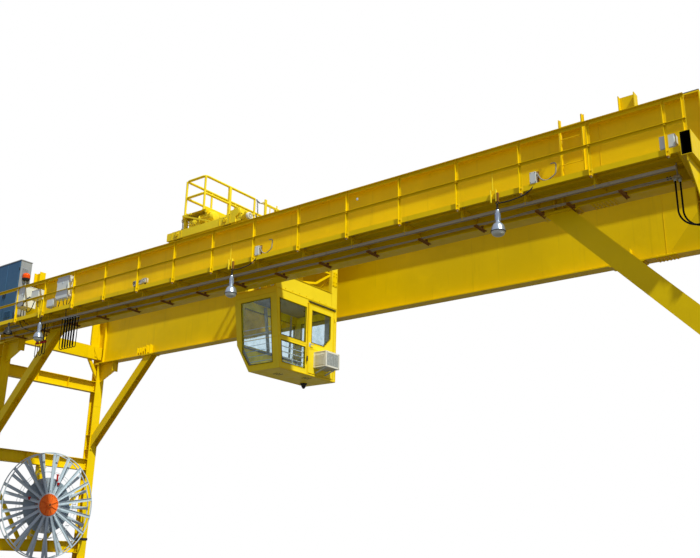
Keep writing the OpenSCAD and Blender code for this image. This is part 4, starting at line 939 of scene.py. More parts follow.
p = Piece("dark_lamp", "dark_steel")
x, y = -10.15, -3.02
p.block(*span(x, 0.03), -3.04, -3.0, 9.0, 9.13, 0.004)
p.spin((x, y, 9.0), DOWN, [(0.03, 0), (0.045, 0.02), (0.05, 0.07), (0.12, 0.15), (0.15, 0.22), (0.155, 0.25),
                                 (0.146, 0.25), (0.11, 0.17), (0.0, 0.13)], 30)
p.use("lamp_glass")
p.spin((x, y, 8.87), DOWN, [(0.06, 0), (0.085, 0.05), (0.08, 0.09), (0.045, 0.115), (0.0, 0.12)], 24)
p.done()

# ---------------------------------------------------------------- legs, sills and trucks

SIDES = [(sx, sy) for sx in (-1, 1) for sy in (-1, 1)]
p = Piece("leg_fittings", "yellow_paint")
for sx, sy in SIDES:
    x, y = sx * LEG_X, sy * GIRDER_Y
    p.block(*span(x, 0.225), *span(y, 0.225), 1.728, 1.742, 0.003)
    for dx in (-0.195, 0.195):
        for dy in (-0.195, 0.0, 0.195):
            p.bolt((x + dx, y + dy, 1.742), UP, 0.036)
    for s in (-1, 1):
        for dy in (-0.1, 0.1):
            a, b = x + s * 0.15, x + s * 0.205
            p.prism([(a, y + dy - 0.006, 1.74), (b, y + dy - 0.006, 1.74), (a, y + dy - 0.006, 1.93)], (0, 0.012, 0))
    for z in (5.62, 6.16, 8.4) if sx < 0 else (5.45, 6.33, 8.4):
        for s in (-1, 1):
            p.block(*span(x, 0.128), y + s * 0.007, y + s * 0.155, *span(z, 0.007))
    for z in (3.6, 7.25):
        for face in (-1, 1):
            a = x + face * 0.15
            p.block(a, a + face * 0.004, *span(y, 0.168), *span(z, 0.01))
    p.block(*span(x, 0.19), *span(y, 0.19), 8.826, 8.842, 0.003)
    for dx in (-0.165, 0.165):
        for dy in (-0.15, 0.0, 0.15):
            p.bolt((x + dx, y + dy, 8.828), DOWN, 0.03)
p.use("dark_steel")
x, y = -LEG_X, GIRDER_Y
p.block(*span(x, 0.17), *span(y, 0.19), 2.39, 2.47, 0.006)
p.use("yellow_paint")
# Splice plates on the cross ties, close to the legs
for sx in (-1, 1):
    for z, h in ((1.95, 0.39), (4.86, 0.41), (7.76, 0.41)):
        for sy in (-1, 1):
            y = sy * 1.9
            p.block(sx * LEG_X - 0.1, sx * LEG_X + 0.1, *span(y, 0.085), z + h - 0.002, z + h + 0.01, 0.002)
            p.block(sx * LEG_X - 0.1, sx * LEG_X + 0.1, *span(y, 0.085), z - 0.01, z + 0.002, 0.002)
            for face in (-1, 1):
                p.block(sx * LEG_X + face * 0.006, sx * LEG_X + face * 0.018, *span(y, 0.085), z + 0.04, z + h - 0.04,
                        0.002)
                for k in range(3):
                    for dy in (-0.05, 0.04):
                        at = (sx * LEG_X + face * 0.018, y + dy, z + 0.1 + k * (h - 0.2) / 2)
                        p.bolt(at, (face, 0, 0), 0.022)
        for y in (-0.65, 0.65):
            for face in (-1, 1):
                p.block(sx * LEG_X + face * 0.006, sx * LEG_X + face * 0.115, *span(y, 0.006), z + 0.02, z + h - 0.02)
p.done()

p = Piece("brace_fittings", "yellow_paint")
for sx, sy in SIDES:
    depth = 0.44 if sx > 0 else 0.3
    y, foot = sy * GIRDER_Y, LEG_X - 0.15
    head = foot - 2.815
    for dx in (-depth + 0.05, -depth / 2, depth / 2, depth - 0.05):
        for dy in (-0.15, 0.15):
            p.bolt((sx * (head + dx), y + dy, 8.85), DOWN, 0.026)
    for dz in (-depth + 0.05, -depth / 2, depth / 2, depth - 0.05):
        for dy in (-0.105, 0.105):
            p.bolt((sx * (foot - 0.02), y + dy, 5.89 + dz), (-sx, 0, 0), 0.026)
    a = Vector((sx * foot, y, 5.89))
    b = Vector((sx * head, y, 8.85))
    run = (b - a).normalized()
    for t in (0.3, 0.52, 0.74):
        c = a.lerp(b, t)
        turn = Matrix((run, Vector(BACK), run.cross(Vector(BACK)))).transposed()
        for s in (-1, 1):
            p.obox(c + Vector((0, s * 0.066, 0)), (0.012, 0.118, depth - 0.045), turn)
    for s in (-1, 1):
        y0, y1 = y + s * 0.01, y + s * 0.16
        for dx in (-0.1, 0.1):
            p.block(sx * head + dx - 0.006, sx * head + dx + 0.006, y0, y1, 8.9, 9.24)
for sy in (-1, 1):
    y = sy * GIRDER_Y
    for k in range(5):
        for dy in (-0.095, 0.095):
            p.bolt((-10.892, y + dy, 8.54 + 0.07 * k), RIGHT, 0.022)
    p.block(-11.718, -10.93, *span(y, 0.1), 8.85, 8.866, 0.002)
    for x in (-11.6, -11.35, -11.1):
        for dy in (-0.075, 0.075):
            p.bolt((x, y + dy, 8.85), DOWN, 0.022)
for x in (-9.5, -9.36, -9.22, -9.1):
    p.block(*span(x, 0.006), 1.83, 1.99, 8.905, 9.19)
p.done()

p = Piece("end_tube_fittings", "yellow_paint")
for sx in (-1, 1):
    x = sx * LEG_X
    for y in (-1.2, 1.2):
        p.block(*span(x, 0.111), *span(y, 0.005), 9.016, 9.514)
    for face in (-1, 1):
        x0, x1 = x + face * 0.105, x + face * 0.117
        for y in (-1.78, 1.78):
            p.block(x0, x1, *span(y, 0.14), 9.1, 9.44, 0.003)
            for dy in (-0.1, 0.1):
                for z in (9.14, 9.27, 9.4):
                    p.bolt((x + face * 0.117, y + dy, z), (face, 0, 0), 0.02)
pts = [(1.53, 10.56), (1.53, 9.72)]
pts += [(1.68 + 0.15 * cos(radians(a)), 9.64 + 0.15 * sin(radians(a))) for a in range(190, 351, 20)]
pts += [(1.83, 9.64), (1.83, 10.56)]
p.prism([(-11.96, y, z) for y, z in pts], (0.08, 0, 0))
p.prism([(-11.75, 1.61, 9.5), (-11.75, 1.97, 9.5), (-11.75, 1.97, 9.03), (-11.75, 1.8, 9.03), (-11.75, 1.61, 9.36)],
        (0.012, 0, 0))
# Painted shade: a black liner inside the open end stands for the dark inside of the tube
p.use("rubber")
p.block(11.776, 11.964, -2.62, -2.6, 9.033, 9.497)
for x0, x1 in ((11.776, 11.78), (11.96, 11.964)):
    p.block(x0, x1, -3.048, -2.62, 9.033, 9.497)
for z0, z1 in ((9.033, 9.037), (9.493, 9.497)):
    p.block(11.776, 11.964, -3.048, -2.62, z0, z1)
p.done()

p = Piece("sill_fittings", "yellow_paint")
for sx in (-1, 1):
    x = sx * LEG_X
    for y in (-2.9, -2.25, -1.75, -0.9, 0, 0.9, 1.75, 2.25, 2.9):
        for face in (-1, 1):
            p.block(x + face * 0.23, x + face * 0.244, *span(y, 0.006), 1.215, 1.685)
    for sy in (-1, 1):
        y = sy * 2.6
        p.block(*span(x, 0.215), *span(y, 0.48), 1.178, 1.199, 0.003)
        p.block(*span(x, 0.105), *span(y, 0.48), 1.061, 1.08, 0.003)
        for dy in (-0.42, -0.21, 0, 0.21, 0.42):
            for dx in (-0.198, 0.198):
                p.bolt((x + dx, y + dy, 1.178), DOWN, 0.024)
        p.block(*span(x, 0.235), sy * 3.1, sy * 3.112, 1.195, 1.705, 0.003)
p.done()

p = Piece("truck_fittings", "yellow_paint")
for sx, sy in SIDES:
    x, y = sx * LEG_X, sy * 2.6
    for wheel in (-1, 1):
        yw = y + wheel * 0.45
        for face in (-1, 1):
            if face == -sx and wheel == -sy:
                continue
            at = (x + face * 0.11, yw, 0.33)
            p.use("yellow_paint")
            p.spin(at, (face, 0, 0), [(0.13, 0), (0.13, 0.014), (0.1, 0.018), (0.092, 0.032), (0.06, 0.034)], 28)
            p.use("dark_steel")
            p.bolt_circle((at[0] + face * 0.014, at[1], at[2]), (face, 0, 0), 0.114, 6, 0.018, 30)
        p.use("yellow_paint")
        for face in (-1, 1):
            x0, x1 = x + face * 0.11, x + face * 0.122
            p.block(x0, x1, yw - 0.17, yw - 0.155, 0.27, 1.04)
            p.block(x0, x1, yw + 0.155, yw + 0.17, 0.27, 1.04)
    for face in (-1, 1):
        x0, x1 = x + face * 0.11, x + face * 0.12
        p.block(x0, x1, *span(y, 0.82), 0.262, 0.3, 0.002)
        p.block(x0, x1, *span(y, 0.82), 1.02, 1.058, 0.002)
    end = y + sy * 0.84
    p.block(*span(x, 0.105), end, end + sy * 0.014, 0.4, 0.64, 0.003)
    p.use("dark_steel")
    for dx in (-0.085, 0.085):
        for z in (0.42, 0.62):
            p.bolt((x + dx, end + sy * 0.014, z), (0, sy, 0), 0.018)
    y0, y1 = end - sy * 0.03, end - sy * 0.005
    p.use("rubber")
    p.block(*span(x, 0.09), y0, y1, 0.03, 0.27, 0.006)
    for h in (0.045, 0.075, 0.105):
        p.ring((x, end + sy * h, 0.52), BACK, 0.08, 0.006, 28, 6)
p.done()

p = Piece("travel_drive_fittings", "motor_grey")
for sx, sy in SIDES:
    x = sx * LEG_X - sx * 0.21
    y = sy * 2.15
    p.use("motor_grey")
    p.fins((x, y, 0.76), "Z", 20, 0.101, (0.02, 0.005, 0.2))
    p.spin((x, y, 0.865), UP, [(0.095, 0), (0.108, 0.004), (0.108, 0.075), (0.09, 0.072), (0.0, 0.072)], 28)
    p.spin((x, y, 0.63), UP, [(0.125, 0), (0.125, 0.018), (0.1, 0.02)], 28)
    p.block(*span(x, 0.055), y - sy * 0.1 - 0.045, y - sy * 0.1 + 0.045, 0.7, 0.8, 0.008)
    p.block(sx * LEG_X - sx * 0.21 - 0.108, sx * LEG_X - sx * 0.21 + 0.108, *span(y, 0.158), 0.3, 0.325, 0.004)
    inner = sx * LEG_X - sx * 0.31
    p.spin((inner, y, 0.33), (-sx, 0, 0), [(0.085, 0), (0.085, 0.016), (0.05, 0.018), (0.05, 0.028)], 24)
    p.use("dark_steel")
    for k in range(6):
        a = radians(60 * k)
        p.bolt((x + 0.112 * cos(a), y + 0.112 * sin(a), 0.648), UP, 0.014)
        p.bolt((inner - sx * 0.016, y + 0.07 * cos(a), 0.33 + 0.07 * sin(a)), (-sx, 0, 0), 0.012)
p.done()

p = Piece("stop_fittings", "yellow_paint")
for x in (10.53, -10.35):
    for sy in (-1, 1):
        y = sy * GIRDER_Y
        for dy in (-0.14, 0.14):
            for dx in (-0.12, 0.12):
                p.block(x + dx - 0.04, x + dx + 0.04, y + dy * 0.8, y + dy * 1.2,
                        10.752, 10.766, 0.002)
                p.bolt((x + dx, y + dy, 10.766), UP, 0.022)
p.done()

p = Piece("rail_fittings", "rail_steel")
for sy in (-1, 1):
    for k in range(30):
        x = -11.6 + 0.8 * k
        if abs(x - 10.53) < 0.3 or abs(x + 10.35) < 0.3:
            continue
        for dy in (-0.075, 0.075):
            y = sy * GIRDER_Y + dy
            p.block(*span(x, 0.03), *span(y, 0.028), 10.751, 10.774, 0.004)
            p.bolt((x, y, 10.774), UP, 0.018)
    p.block(-0.25, 0.25, sy * GIRDER_Y - 0.018, sy * GIRDER_Y + 0.018, 10.785, 10.818, 0.002)
p.done()

# ---------------------------------------------------------------- cable reel

REEL = Vector((-11.23, 0, 3.48))
p = Piece("reel_fittings", "galvanised", "cable_reel")
for layer in (-1, 1):
    for i in range(18):
        a = radians(20 * (i + (0.5 if layer > 0 else 0)))
        u, t = Vector((0, cos(a), sin(a))), Vector((0, -sin(a), cos(a)))
        turn = Matrix((Vector(RIGHT), u, t)).transposed()
        plane = REEL + Vector((layer * 0.107, 0, 0))
        for s in (-1, 1):
            p.obox(plane + u * 1.07 + t * s * 0.048 + Vector((layer * 0.014, 0, 0)), (0.028, 1.38, 0.006), turn)
        p.obox(plane + u * 1.07 + Vector((layer * 0.002, 0, 0)), (0.005, 1.38, 0.096), turn)
        for r in (0.455, 0.5, 1.7):
            p.bolt(plane + u * r + Vector((layer * 0.004, 0, 0)), (layer, 0, 0), 0.018)
    p.ring(REEL + Vector((layer * 0.094, 0, 0)), RIGHT, 1.12, 0.007, 72, 6)
    p.ring(REEL + Vector((layer * 0.107, 0, 0)), RIGHT, 1.766, 0.014, 96, 8)
for k in range(9):
    a = radians(40 * k + 5)
    u = Vector((0, cos(a), sin(a)))
    p.rod(REEL + u * 1.12 - Vector((0.1, 0, 0)), REEL + u * 1.12 + Vector((0.1, 0, 0)), 0.012, 10)
p.use("red_motor")
for y, z, h in ((0.2, 0.93, 0.24), (0.26, 0.72, 0.1), (-0.8, 0.17, 0.1)):
    p.block(REEL.x + 0.12, REEL.x + 0.155, *span(y, 0.03), REEL.z + z - h / 2, REEL.z + z + h / 2, 0.008)
    p.block(REEL.x + 0.125, REEL.x + 0.165, *span(y, 0.05), REEL.z + z + h / 2 - 0.04, REEL.z + z + h / 2, 0.008)
    p.bolt((REEL.x + 0.155, y, REEL.z + z - h / 4), RIGHT, 0.02)
p.done()

p = Piece("hub_fittings", "orange_hub", "cable_reel")
front = REEL + Vector((0.128, 0, 0))
p.ring(front, RIGHT, 0.36, 0.01, 56, 8)
for k in range(8):
    a = radians(45 * k + 22.5)
    u, t = Vector((0, cos(a), sin(a))), Vector((0, -sin(a), cos(a)))
    p.obox(front + u * 0.21 + Vector((0.012, 0, 0)), (0.026, 0.24, 0.014), Matrix((Vector(RIGHT), u, t)).transposed())
p.spin(front, RIGHT, [(0.115, 0), (0.115, 0.022), (0.095, 0.034)], 32)
p.bolt_circle(front, RIGHT, 0.335, 20, 0.022)
p.spin(front + Vector((0.044, 0, 0)), RIGHT, [(0.076, 0), (0.078, 0.006), (0.066, 0.014), (0.04, 0.016)], 28)
p.use("dark_steel")
p.spin(front + Vector((0.06, 0, 0)), RIGHT, [(0.03, 0), (0.03, 0.006), (0.02, 0.01)], 20)
p.bolt_circle(front + Vector((0.022, 0, 0)), RIGHT, 0.1, 4, 0.012, 20)
p.done()

turns, pitch, r0 = 13, 0.036, 0.47
path = []
for k in range(turns * 28 + 1):
    a = 2 * pi * k / 28
    r = r0 + pitch * k / 28
    path.append(REEL + Vector((0, r * cos(a), r * sin(a))))
cord_mesh("reel_cable", "grey_cable", path, 0.034, "cable_reel")

p = Piece("reel_motor_fittings", "red_motor")
mx, mz = -11.55, 3.86
p.fins((mx, 0, mz + 0.19), "Z", 22, 0.106, (0.022, 0.005, 0.26))
p.spin((mx, 0, mz + 0.335), UP, [(0.1, 0), (0.114, 0.005), (0.114, 0.085), (0.095, 0.082), (0.0, 0.082)], 28)
p.spin((mx, 0, mz + 0.005), UP, [(0.128, 0), (0.128, 0.02), (0.104, 0.022)], 28)
p.block(mx + 0.09, mx + 0.17, -0.06, 0.06, mz + 0.13, mz + 0.24, 0.01)
p.block(-11.672, -11.428, -0.158, 0.158, 3.7, 3.725, 0.004)
p.use("dark_steel")
p.bolt_circle((mx, 0, mz + 0.025), UP, 0.115, 6, 0.016)
for y in (-0.12, 0, 0.12):
    for x in (-11.66, -11.44):
        p.bolt((x, y, 3.725), UP, 0.014)
p.use("yellow_paint")
for z in (2.4, 4.8):
    p.block(-LEG_X - 0.15, -LEG_X + 0.15, -0.15, 0.15, z - 0.012 if z > 4 else z - 0.055, z if z > 4 else z - 0.043,
            0.002)
p.ring((-11.74, 0, 3.48), RIGHT, 0.138, 0.016, 32, 8)
p.done()

# ---------------------------------------------------------------- cab

CAB_X, CAB_Z, CAB_TOP = 0.4, 6.68, 8.9


def near_y(z):
    return -1.325 - 0.256 / 2.22 * (z - CAB_Z)


def far_x(z):
    """Left-hand edge of the cab's side profile."""
    if z > 7.455:
        return -1.13 - 0.05 * (z - 7.455) / (CAB_TOP - 7.455)
    return -0.72 - 0.41 * (z - CAB_Z) / 0.775


UPPER = [(-0.275, 7.602), (-0.275, 8.61), (near_y(8.61) + 0.13, 8.61), (near_y(7.602) + 0.13, 7.602)]
LOWER = [(-0.275, 6.855), (-0.275, 7.455), (near_y(7.455) + 0.13, 7.455), (near_y(6.855) + 0.13, 6.855)]
SIDE = [(0.172, 6.855), (0.172, 8.61), (-0.923, 8.61), (-0.923, 7.23), (-0.685, 6.855)]
DOOR = [(-0.005, 7.64), (0.555, 7.64), (0.83, 7.915), (0.83, 8.58), (-0.005, 8.58)]
FRONT = [(-1.195, 7.515), (0.985, 7.515), (0.985, 8.61), (-1.195, 8.61)]
near_normal = Vector((0, -1, -0.256 / 2.22)).normalized()

p = Piece("window_gaskets", "rubber", "trolley")
front_normal = Vector((-1, 0, -0.05 / 1.445)).normalized()


def glazing(p, points, normal, inner=True):
    """Thin dark seal and a raised bead of paint round one window."""
    points = [Vector(q) for q in points]
    centre = sum(points, Vector((0, 0, 0))) / len(points)
    p.use("rubber")
    p.loop([q + normal * 0.0005 for q in points], normal, 0.014, 0.006)
    p.use("yellow_paint")
    p.loop([q + (q - centre).normalized() * 0.03 + normal * 0.0005 for q in points], normal, 0.022, 0.004)
    if inner:
        p.use("rubber")
        p.loop([q - normal * 0.05 for q in points], -normal, 0.014, 0.004)


for outline in (UPPER, LOWER):
    glazing(p, [(CAB_X, y, z) for y, z in outline], Vector(RIGHT))
glazing(p, [(x, near_y(z), z) for x, z in SIDE], near_normal)
glazing(p, [(x, 1.115, z) for x, z in SIDE], Vector(BACK))
glazing(p, [(far_x(z), y, z) for y, z in FRONT], front_normal)
p.done()

p = Piece("cab_interior", "pale_liner", "trolley")
p.block(-1.06, 0.34, -1.46, 1.06, 8.825, 8.848, 0.004)
p.block(-0.66, 0.345, -1.27, 1.06, 6.732, 6.75, 0.004)
p.block(0.12, 0.34, 0.9, 1.058, 6.75, 8.82, 0.004)
p.bar((-1.04, -0.2, 7.42), (-1.06, -0.4, 8.8), 0.09, 0.05)
p.bar((-1.04, 0.7, 7.42), (-1.06, 0.75, 8.8), 0.05, 0.05)
p.bar((-0.62, -1.3, 6.78), (-1.02, -1.36, 7.46), 0.04, 0.04, up=BACK)
p.bar((-0.62, 1.04, 6.78), (-1.02, 1.04, 7.46), 0.04, 0.04, up=BACK)
p.block(-1.06, -1.0, -1.36, 1.05, 7.43, 7.47, 0.004)
# Guard rails behind the lower panes: one set of rails round the cab, white behind the right-hand panes as painted
# sunlight and grey along the side windows as painted shade
p.use("white_plastic")
for z in (6.89, 7.01, 7.16, 7.31):
    p.rod((0.335, near_y(z) + 0.075, z), (0.335, -0.2, z), 0.014, 10)
p.rod((0.34, -0.74, 6.8), (0.34, -0.74, 7.16), 0.016, 10)
# Grey of the side-window rails: painted shade on the same rails
p.use("galvanised")
for k in range(7):
    z = 6.95 + 0.15 * k
    left = far_x(z) + 0.1
    p.rod((left, near_y(z) + 0.075, z), (0.16, near_y(z) + 0.075, z), 0.008, 8)
    p.rod((left, 1.045, z), (0.16, 1.045, z), 0.008, 8)
p.use("dark_steel")
for y in (-0.9, 0.5):
    p.rod((-0.35, y, 8.8), (-0.35, y + 0.35, 8.8), 0.022, 10)
p.done()

p = Piece("cab_panels", "yellow_paint", "trolley")
# Seams, drip rail and the folded edges of the walls
p.use("dark_steel")
p.block(CAB_X, CAB_X + 0.03, -0.2, 1.05, 8.822, 8.83, 0.001)
p.block(CAB_X + 0.024, CAB_X + 0.03, -0.2, 1.05, 8.795, 8.83, 0.001)
p.use("yellow_paint")
p.block(CAB_X, CAB_X + 0.005, near_y(7.53) + 0.01, -0.17, 7.523, 7.535)
p.block(CAB_X, CAB_X + 0.006, -0.185, -0.17, 6.69, 8.89)
for y, z0, z1 in ((1.1, 6.69, 9.3), ):
    p.block(CAB_X, CAB_X + 0.01, *span(y, 0.012), z0, 8.89, 0.002)
p.bar((CAB_X + 0.004, near_y(6.69) + 0.012, 6.69), (CAB_X + 0.004, near_y(8.89) + 0.012, 8.89), 0.022, 0.01, up=RIGHT)
for z in (6.7, 8.88):
    p.block(CAB_X, CAB_X + 0.01, near_y(z) + 0.01, 1.1, *span(z, 0.012), 0.002)
for z in (7.53, 8.75):
    n = near_normal * 0.003
    p.bar(Vector((far_x(z) + 0.03, near_y(z), z)) + n, Vector((0.38, near_y(z), z)) + n, 0.012, 0.008)
# Upstand: folded lip along its top and stiffeners
p.block(0.352, 0.42, -1.02, 0.85, 9.318, 9.328, 0.001)
p.bar((0.386, -1.02, 9.322), (0.386, -1.6, 9.092), 0.068, 0.01)
for y in (-1.2, -0.9, -0.6, -0.3, 0, 0.3, 0.6):
    p.bolt((0.401, y, 8.935), RIGHT, 0.016)
# Roof
p.block(-1.16, 0.34, -1.56, -1.53, 8.902, 8.935, 0.002)
p.block(-1.16, 0.34, 1.07, 1.1, 8.902, 8.935, 0.002)
p.block(-1.165, -1.13, -1.56, 1.1, 8.902, 8.935, 0.002)
for x in (-0.75, -0.2):
    p.block(*span(x, 0.02), -1.5, 1.05, 8.902, 8.918, 0.003)
# Splice plates and bolts of the hangers
for x, y in ((0.345, 0.9875), (0.285, -1.1475), (-1.01, 0.9875), (-1.01, -1.1475)):
    for face in (-1, 1):
        p.block(x + face * 0.055, x + face * 0.067, *span(y, 0.105), 9.55, 10.02, 0.003)
        for dy in (-0.06, 0.06):
            for z in (9.6, 9.69, 9.88, 9.97):
                p.bolt((x + face * 0.067, y + dy, z), (face, 0, 0), 0.024)
    p.block(*span(x, 0.115), *span(y, 0.165), 10.866, 10.887, 0.003)
    p.block(x - 0.09, x + 0.052, *span(y, 0.155), 8.902, 8.918, 0.003)
    for dy in (-0.145, 0.145):
        p.bolt((x - 0.085, y + dy, 10.866), DOWN, 0.022)
        p.bolt((x + 0.085, y + dy, 10.866), DOWN, 0.022)
# Struts between the upstand and the hangers
p.bar((0.3, -0.64, 9.3), (0.3, 0.22, 9.48), 0.045, 0.06)
p.bar((0.3, 0.22, 9.48), (0.3, 0.86, 9.9), 0.045, 0.06)
p.bar((0.3, 0.34, 9.95), (0.3, 0.88, 9.95), 0.05, 0.05)
p.bar((0.285, -1.02, 9.95), (0.3, 0.34, 9.95), 0.05, 0.05)
p.bar((0.3, -0.64, 9.3), (0.3, -1.02, 9.85), 0.04, 0.04)
p.bar((-1.01, -1.02, 9.95), (-1.01, 0.88, 9.95), 0.05, 0.05)
p.bar((-1.01, -1.02, 9.05), (-1.01, 0.88, 9.9), 0.04, 0.04)
p.bar((-0.95, 0.9875, 9.1), (0.29, 0.9875, 9.9), 0.04, 0.04)
p.done()

p = Piece("cab_roof_fittings", "galvanised", "trolley")
p.block(-0.9, -0.8, -1.48, -1.36, 8.902, 8.96, 0.01)
p.rod((-0.4, -1.39, 8.9), (-0.4, -1.39, 9.16), 0.016, 10)
p.block(-0.44, -0.36, -1.42, -1.36, 9.14, 9.18, 0.006)
p.rod((-0.4, -0.9, 8.9), (-0.4, -0.9, 9.22), 0.018, 10)
p.bar((-0.4, -0.9, 9.2), (-0.4, -1.02, 9.38), 0.03, 0.03)
p.bar((-0.4, -0.9, 9.2), (-0.4, -0.78, 9.38), 0.03, 0.03)
p.use("white_plastic")
p.block(-0.66, -0.54, -1.4, -1.24, 8.902, 9.0, 0.015)
p.use("dark_steel")
p.block(-0.45, -0.35, -0.5, -0.36, 8.9, 9.02, 0.008)
p.tube([(-0.4, -0.43, 9.02), (-0.4, -0.43, 9.3), (-0.38, -0.46, 9.5), (-0.3, -0.6, 9.7), (-0.2, -0.9, 9.9),
        (-0.1, -1.15, 10.2),
        (0.1, -1.3, 10.6), (0.16, -1.34, 10.87)], 0.014, 8)
p.tube([(-0.62, -1.3, 9.0), (-0.6, -1.28, 9.06), (-0.5, -1.22, 9.08), (-0.4, -1.1, 9.0), (-0.4, -0.98, 8.93)], 0.01, 8)
# Grab rod with its handle at the door's near edge
p.use("yellow_paint")
p.rod((0.442, -0.215, 7.05), (0.442, -0.215, 8.78), 0.012, 12)
for z in (7.08, 7.9, 8.74):
    p.rod((0.4, -0.215, z), (0.442, -0.215, z), 0.01, 10)
    p.spin((0.4, -0.215, z), RIGHT, [(0.024, 0), (0.024, 0.006)], 14)
p.use("dark_steel")
p.rod((0.442, -0.215, 7.06), (0.442, -0.215, 7.2), 0.018, 12)
# Underside: groups of drain holes' rims and the cone of the lamp
for x0, y0 in ((-0.3, -0.75), (0.02, 0.1)):
    for k in range(9):
        at = (x0 + 0.075 * (k % 3) + 0.02 * (k // 3), y0 + 0.09 * (k // 3) - 0.02 * (k % 3), 6.6805)
        p.ring(at, UP, 0.02, 0.006, 14, 6)
p.spin((-0.45, 0.72, 6.68), DOWN, [(0.1, 0), (0.1, 0.02), (0.085, 0.03), (0.055, 0.11), (0.025, 0.15),
        (0.0, 0.155)], 24)
p.use("yellow_paint")
for x0, x1 in ((-0.655, -0.645), (0.335, 0.345)):
    p.block(x0, x1, -1.28, 1.08, 6.676, 6.681)
p.done()

p = Piece("door_fittings", "rubber", "door")
glazing(p, [(CAB_X, y, z) for y, z in DOOR], Vector(RIGHT), inner=False)
p.use("rubber")
p.loop([(CAB_X - 0.0405, y, z) for y, z in DOOR], LEFT, 0.014, 0.005)
p.use("yellow_paint")
p.loop([(CAB_X + 0.0005, y, z) for y, z in ((-0.12, 6.765), (0.98, 6.765), (0.98, 8.755), (-0.12, 8.755))], RIGHT,
        0.03, 0.006)
p.block(CAB_X, CAB_X + 0.005, -0.1, 0.96, 7.44, 7.47, 0.001)
p.use("galvanised")
p.block(CAB_X, CAB_X + 0.008, -0.118, -0.038, 7.5, 7.62, 0.003)
p.rod((CAB_X + 0.006, -0.078, 7.57), (CAB_X + 0.05, -0.078, 7.57), 0.012, 12)
p.bar((CAB_X + 0.05, -0.095, 7.57), (CAB_X + 0.05, 0.05, 7.565), 0.018, 0.02, 0.005)
p.use("yellow_paint")
for z in (7.0 + 0.061, 8.48 + 0.061):
    for y in (0.955, 0.985):
        p.bolt((CAB_X + 0.005, y, z + 0.03), RIGHT, 0.01)
p.done()

# Air conditioner: white casing with a grille in front and louvres at its sides
p = Piece("air_conditioner_case", "white_plastic", "door")
x0, x1, y0, y1, z0, z1 = 0.4, 0.835, 0.12, 0.735, 6.94, 7.375
p.loop([(x1, y0 + 0.02, z0 + 0.02), (x1, y1 - 0.02, z0 + 0.02), (x1, y1 - 0.02, z1 - 0.02), (x1, y0 + 0.02, z1 - 0.02)],
       RIGHT, 0.045, 0.01)
p.block(x0, x1 + 0.006, y0 - 0.006, y1 + 0.006, z1 - 0.012, z1 + 0.008, 0.005)
p.block(x0, x1 + 0.006, y0 - 0.006, y1 + 0.006, z0 - 0.008, z0 + 0.012, 0.005)
for y in (y0, y1):
    for x in (x0 + 0.01, x1 - 0.015):
        p.block(*span(x, 0.012), *span(y, 0.006), z0 + 0.01, z1 - 0.01, 0.003)
p.use("dark_steel")
p.block(x1, x1 + 0.002, y0 + 0.045, y1 - 0.045, z0 + 0.045, z1 - 0.045)
p.use("grey_box")
for k in range(19):
    z = z0 + 0.055 + 0.0178 * k
    p.block(x1 + 0.002, x1 + 0.007, y0 + 0.045, y1 - 0.045, *span(z, 0.0035))
for k in range(7):
    y = y0 + 0.09 + 0.0725 * k
    p.block(x1 + 0.006, x1 + 0.01, *span(y, 0.003), z0 + 0.045, z1 - 0.045)
p.use("white_plastic")
for y, s in ((y0, -1), (y1, 1)):
    for k in range(11):
        z = z0 + 0.07 + 0.028 * k
        p.prism([(x0 + 0.06, y, z), (x0 + 0.06, y + s * 0.01, z - 0.004), (x0 + 0.06, y, z + 0.014)], (0.32, 0, 0))
p.use("galvanised")
for y in (y0 + 0.1, y1 - 0.1):
    p.bar((0.4, y, 6.8), (0.78, y, 6.935), 0.03, 0.03)
    p.block(0.4, 0.8, *span(y, 0.02), 6.922, 6.934, 0.002)
p.use("dark_steel")
for y in (y0 + 0.05, y1 - 0.05):
    for z in (z0 + 0.02, z1 - 0.02):
        p.bolt((x1 + 0.01, y, z), RIGHT, 0.01, False)
p.done()

# ---------------------------------------------------------------- trolley

HOIST_X, DRUM_Z, BEAM_Z = -1.5825, 10.95, 10.888
p = Piece("trolley_fittings", "yellow_paint", "trolley")
for sy in (-1, 1):
    y = sy * GIRDER_Y
    for x in (-3.24, -1.22):
        for face in (-1, 1):
            at = Vector((x, y + face * 0.13, 11.018))
            p.use("yellow_paint")
            p.spin(at, (0, face, 0), [(0.088, 0), (0.088, 0.012), (0.066, 0.016), (0.06, 0.026), (0.03, 0.028)], 24)
            p.use("dark_steel")
            p.bolt_circle(at + Vector((0, face * 0.012, 0)), (0, face, 0), 0.075, 6, 0.014)
        p.use("yellow_paint")
        for dx in (-0.205, 0.205):
            for face in (-1, 1):
                p.block(x + dx - 0.008, x + dx + 0.008, y + face * 0.131, y + face * 0.141, 10.9, 11.12)
        p.block(*span(x, 0.22), *span(y, 0.125), 11.128, 11.14, 0.003)
    p.use("yellow_paint")
    p.block(-3.665, -3.655, *span(y, 0.135), 10.884, 11.132, 0.002)
    p.use("rubber")
    p.spin((-3.664, y, 11.0), LEFT, [(0.075, 0), (0.075, 0.006), (0.06, 0.009)], 24)
    p.use("yellow_paint")
    p.block(-2.7, -1.6, *span(y, 0.11), 11.129, 11.137, 0.002)
# Bed plates' edge angles and bolts
for x0, x1 in ((-3.07, -2.055), (-1.11, 0.45)):
    for s in (-1, 1):
        p.block(x0, x1, s * 1.5, s * 1.512, 11.07, 11.15, 0.002)
        k = x0 + 0.12
        while k < x1 - 0.05:
            p.bolt((k, s * 1.512, 11.11), (0, s, 0), 0.02)
            k += 0.25
for y in (-0.9, -0.3, 0.3, 0.9):
    p.block(-1.05, 0.4, *span(y, 0.005), 11.02, 11.137)
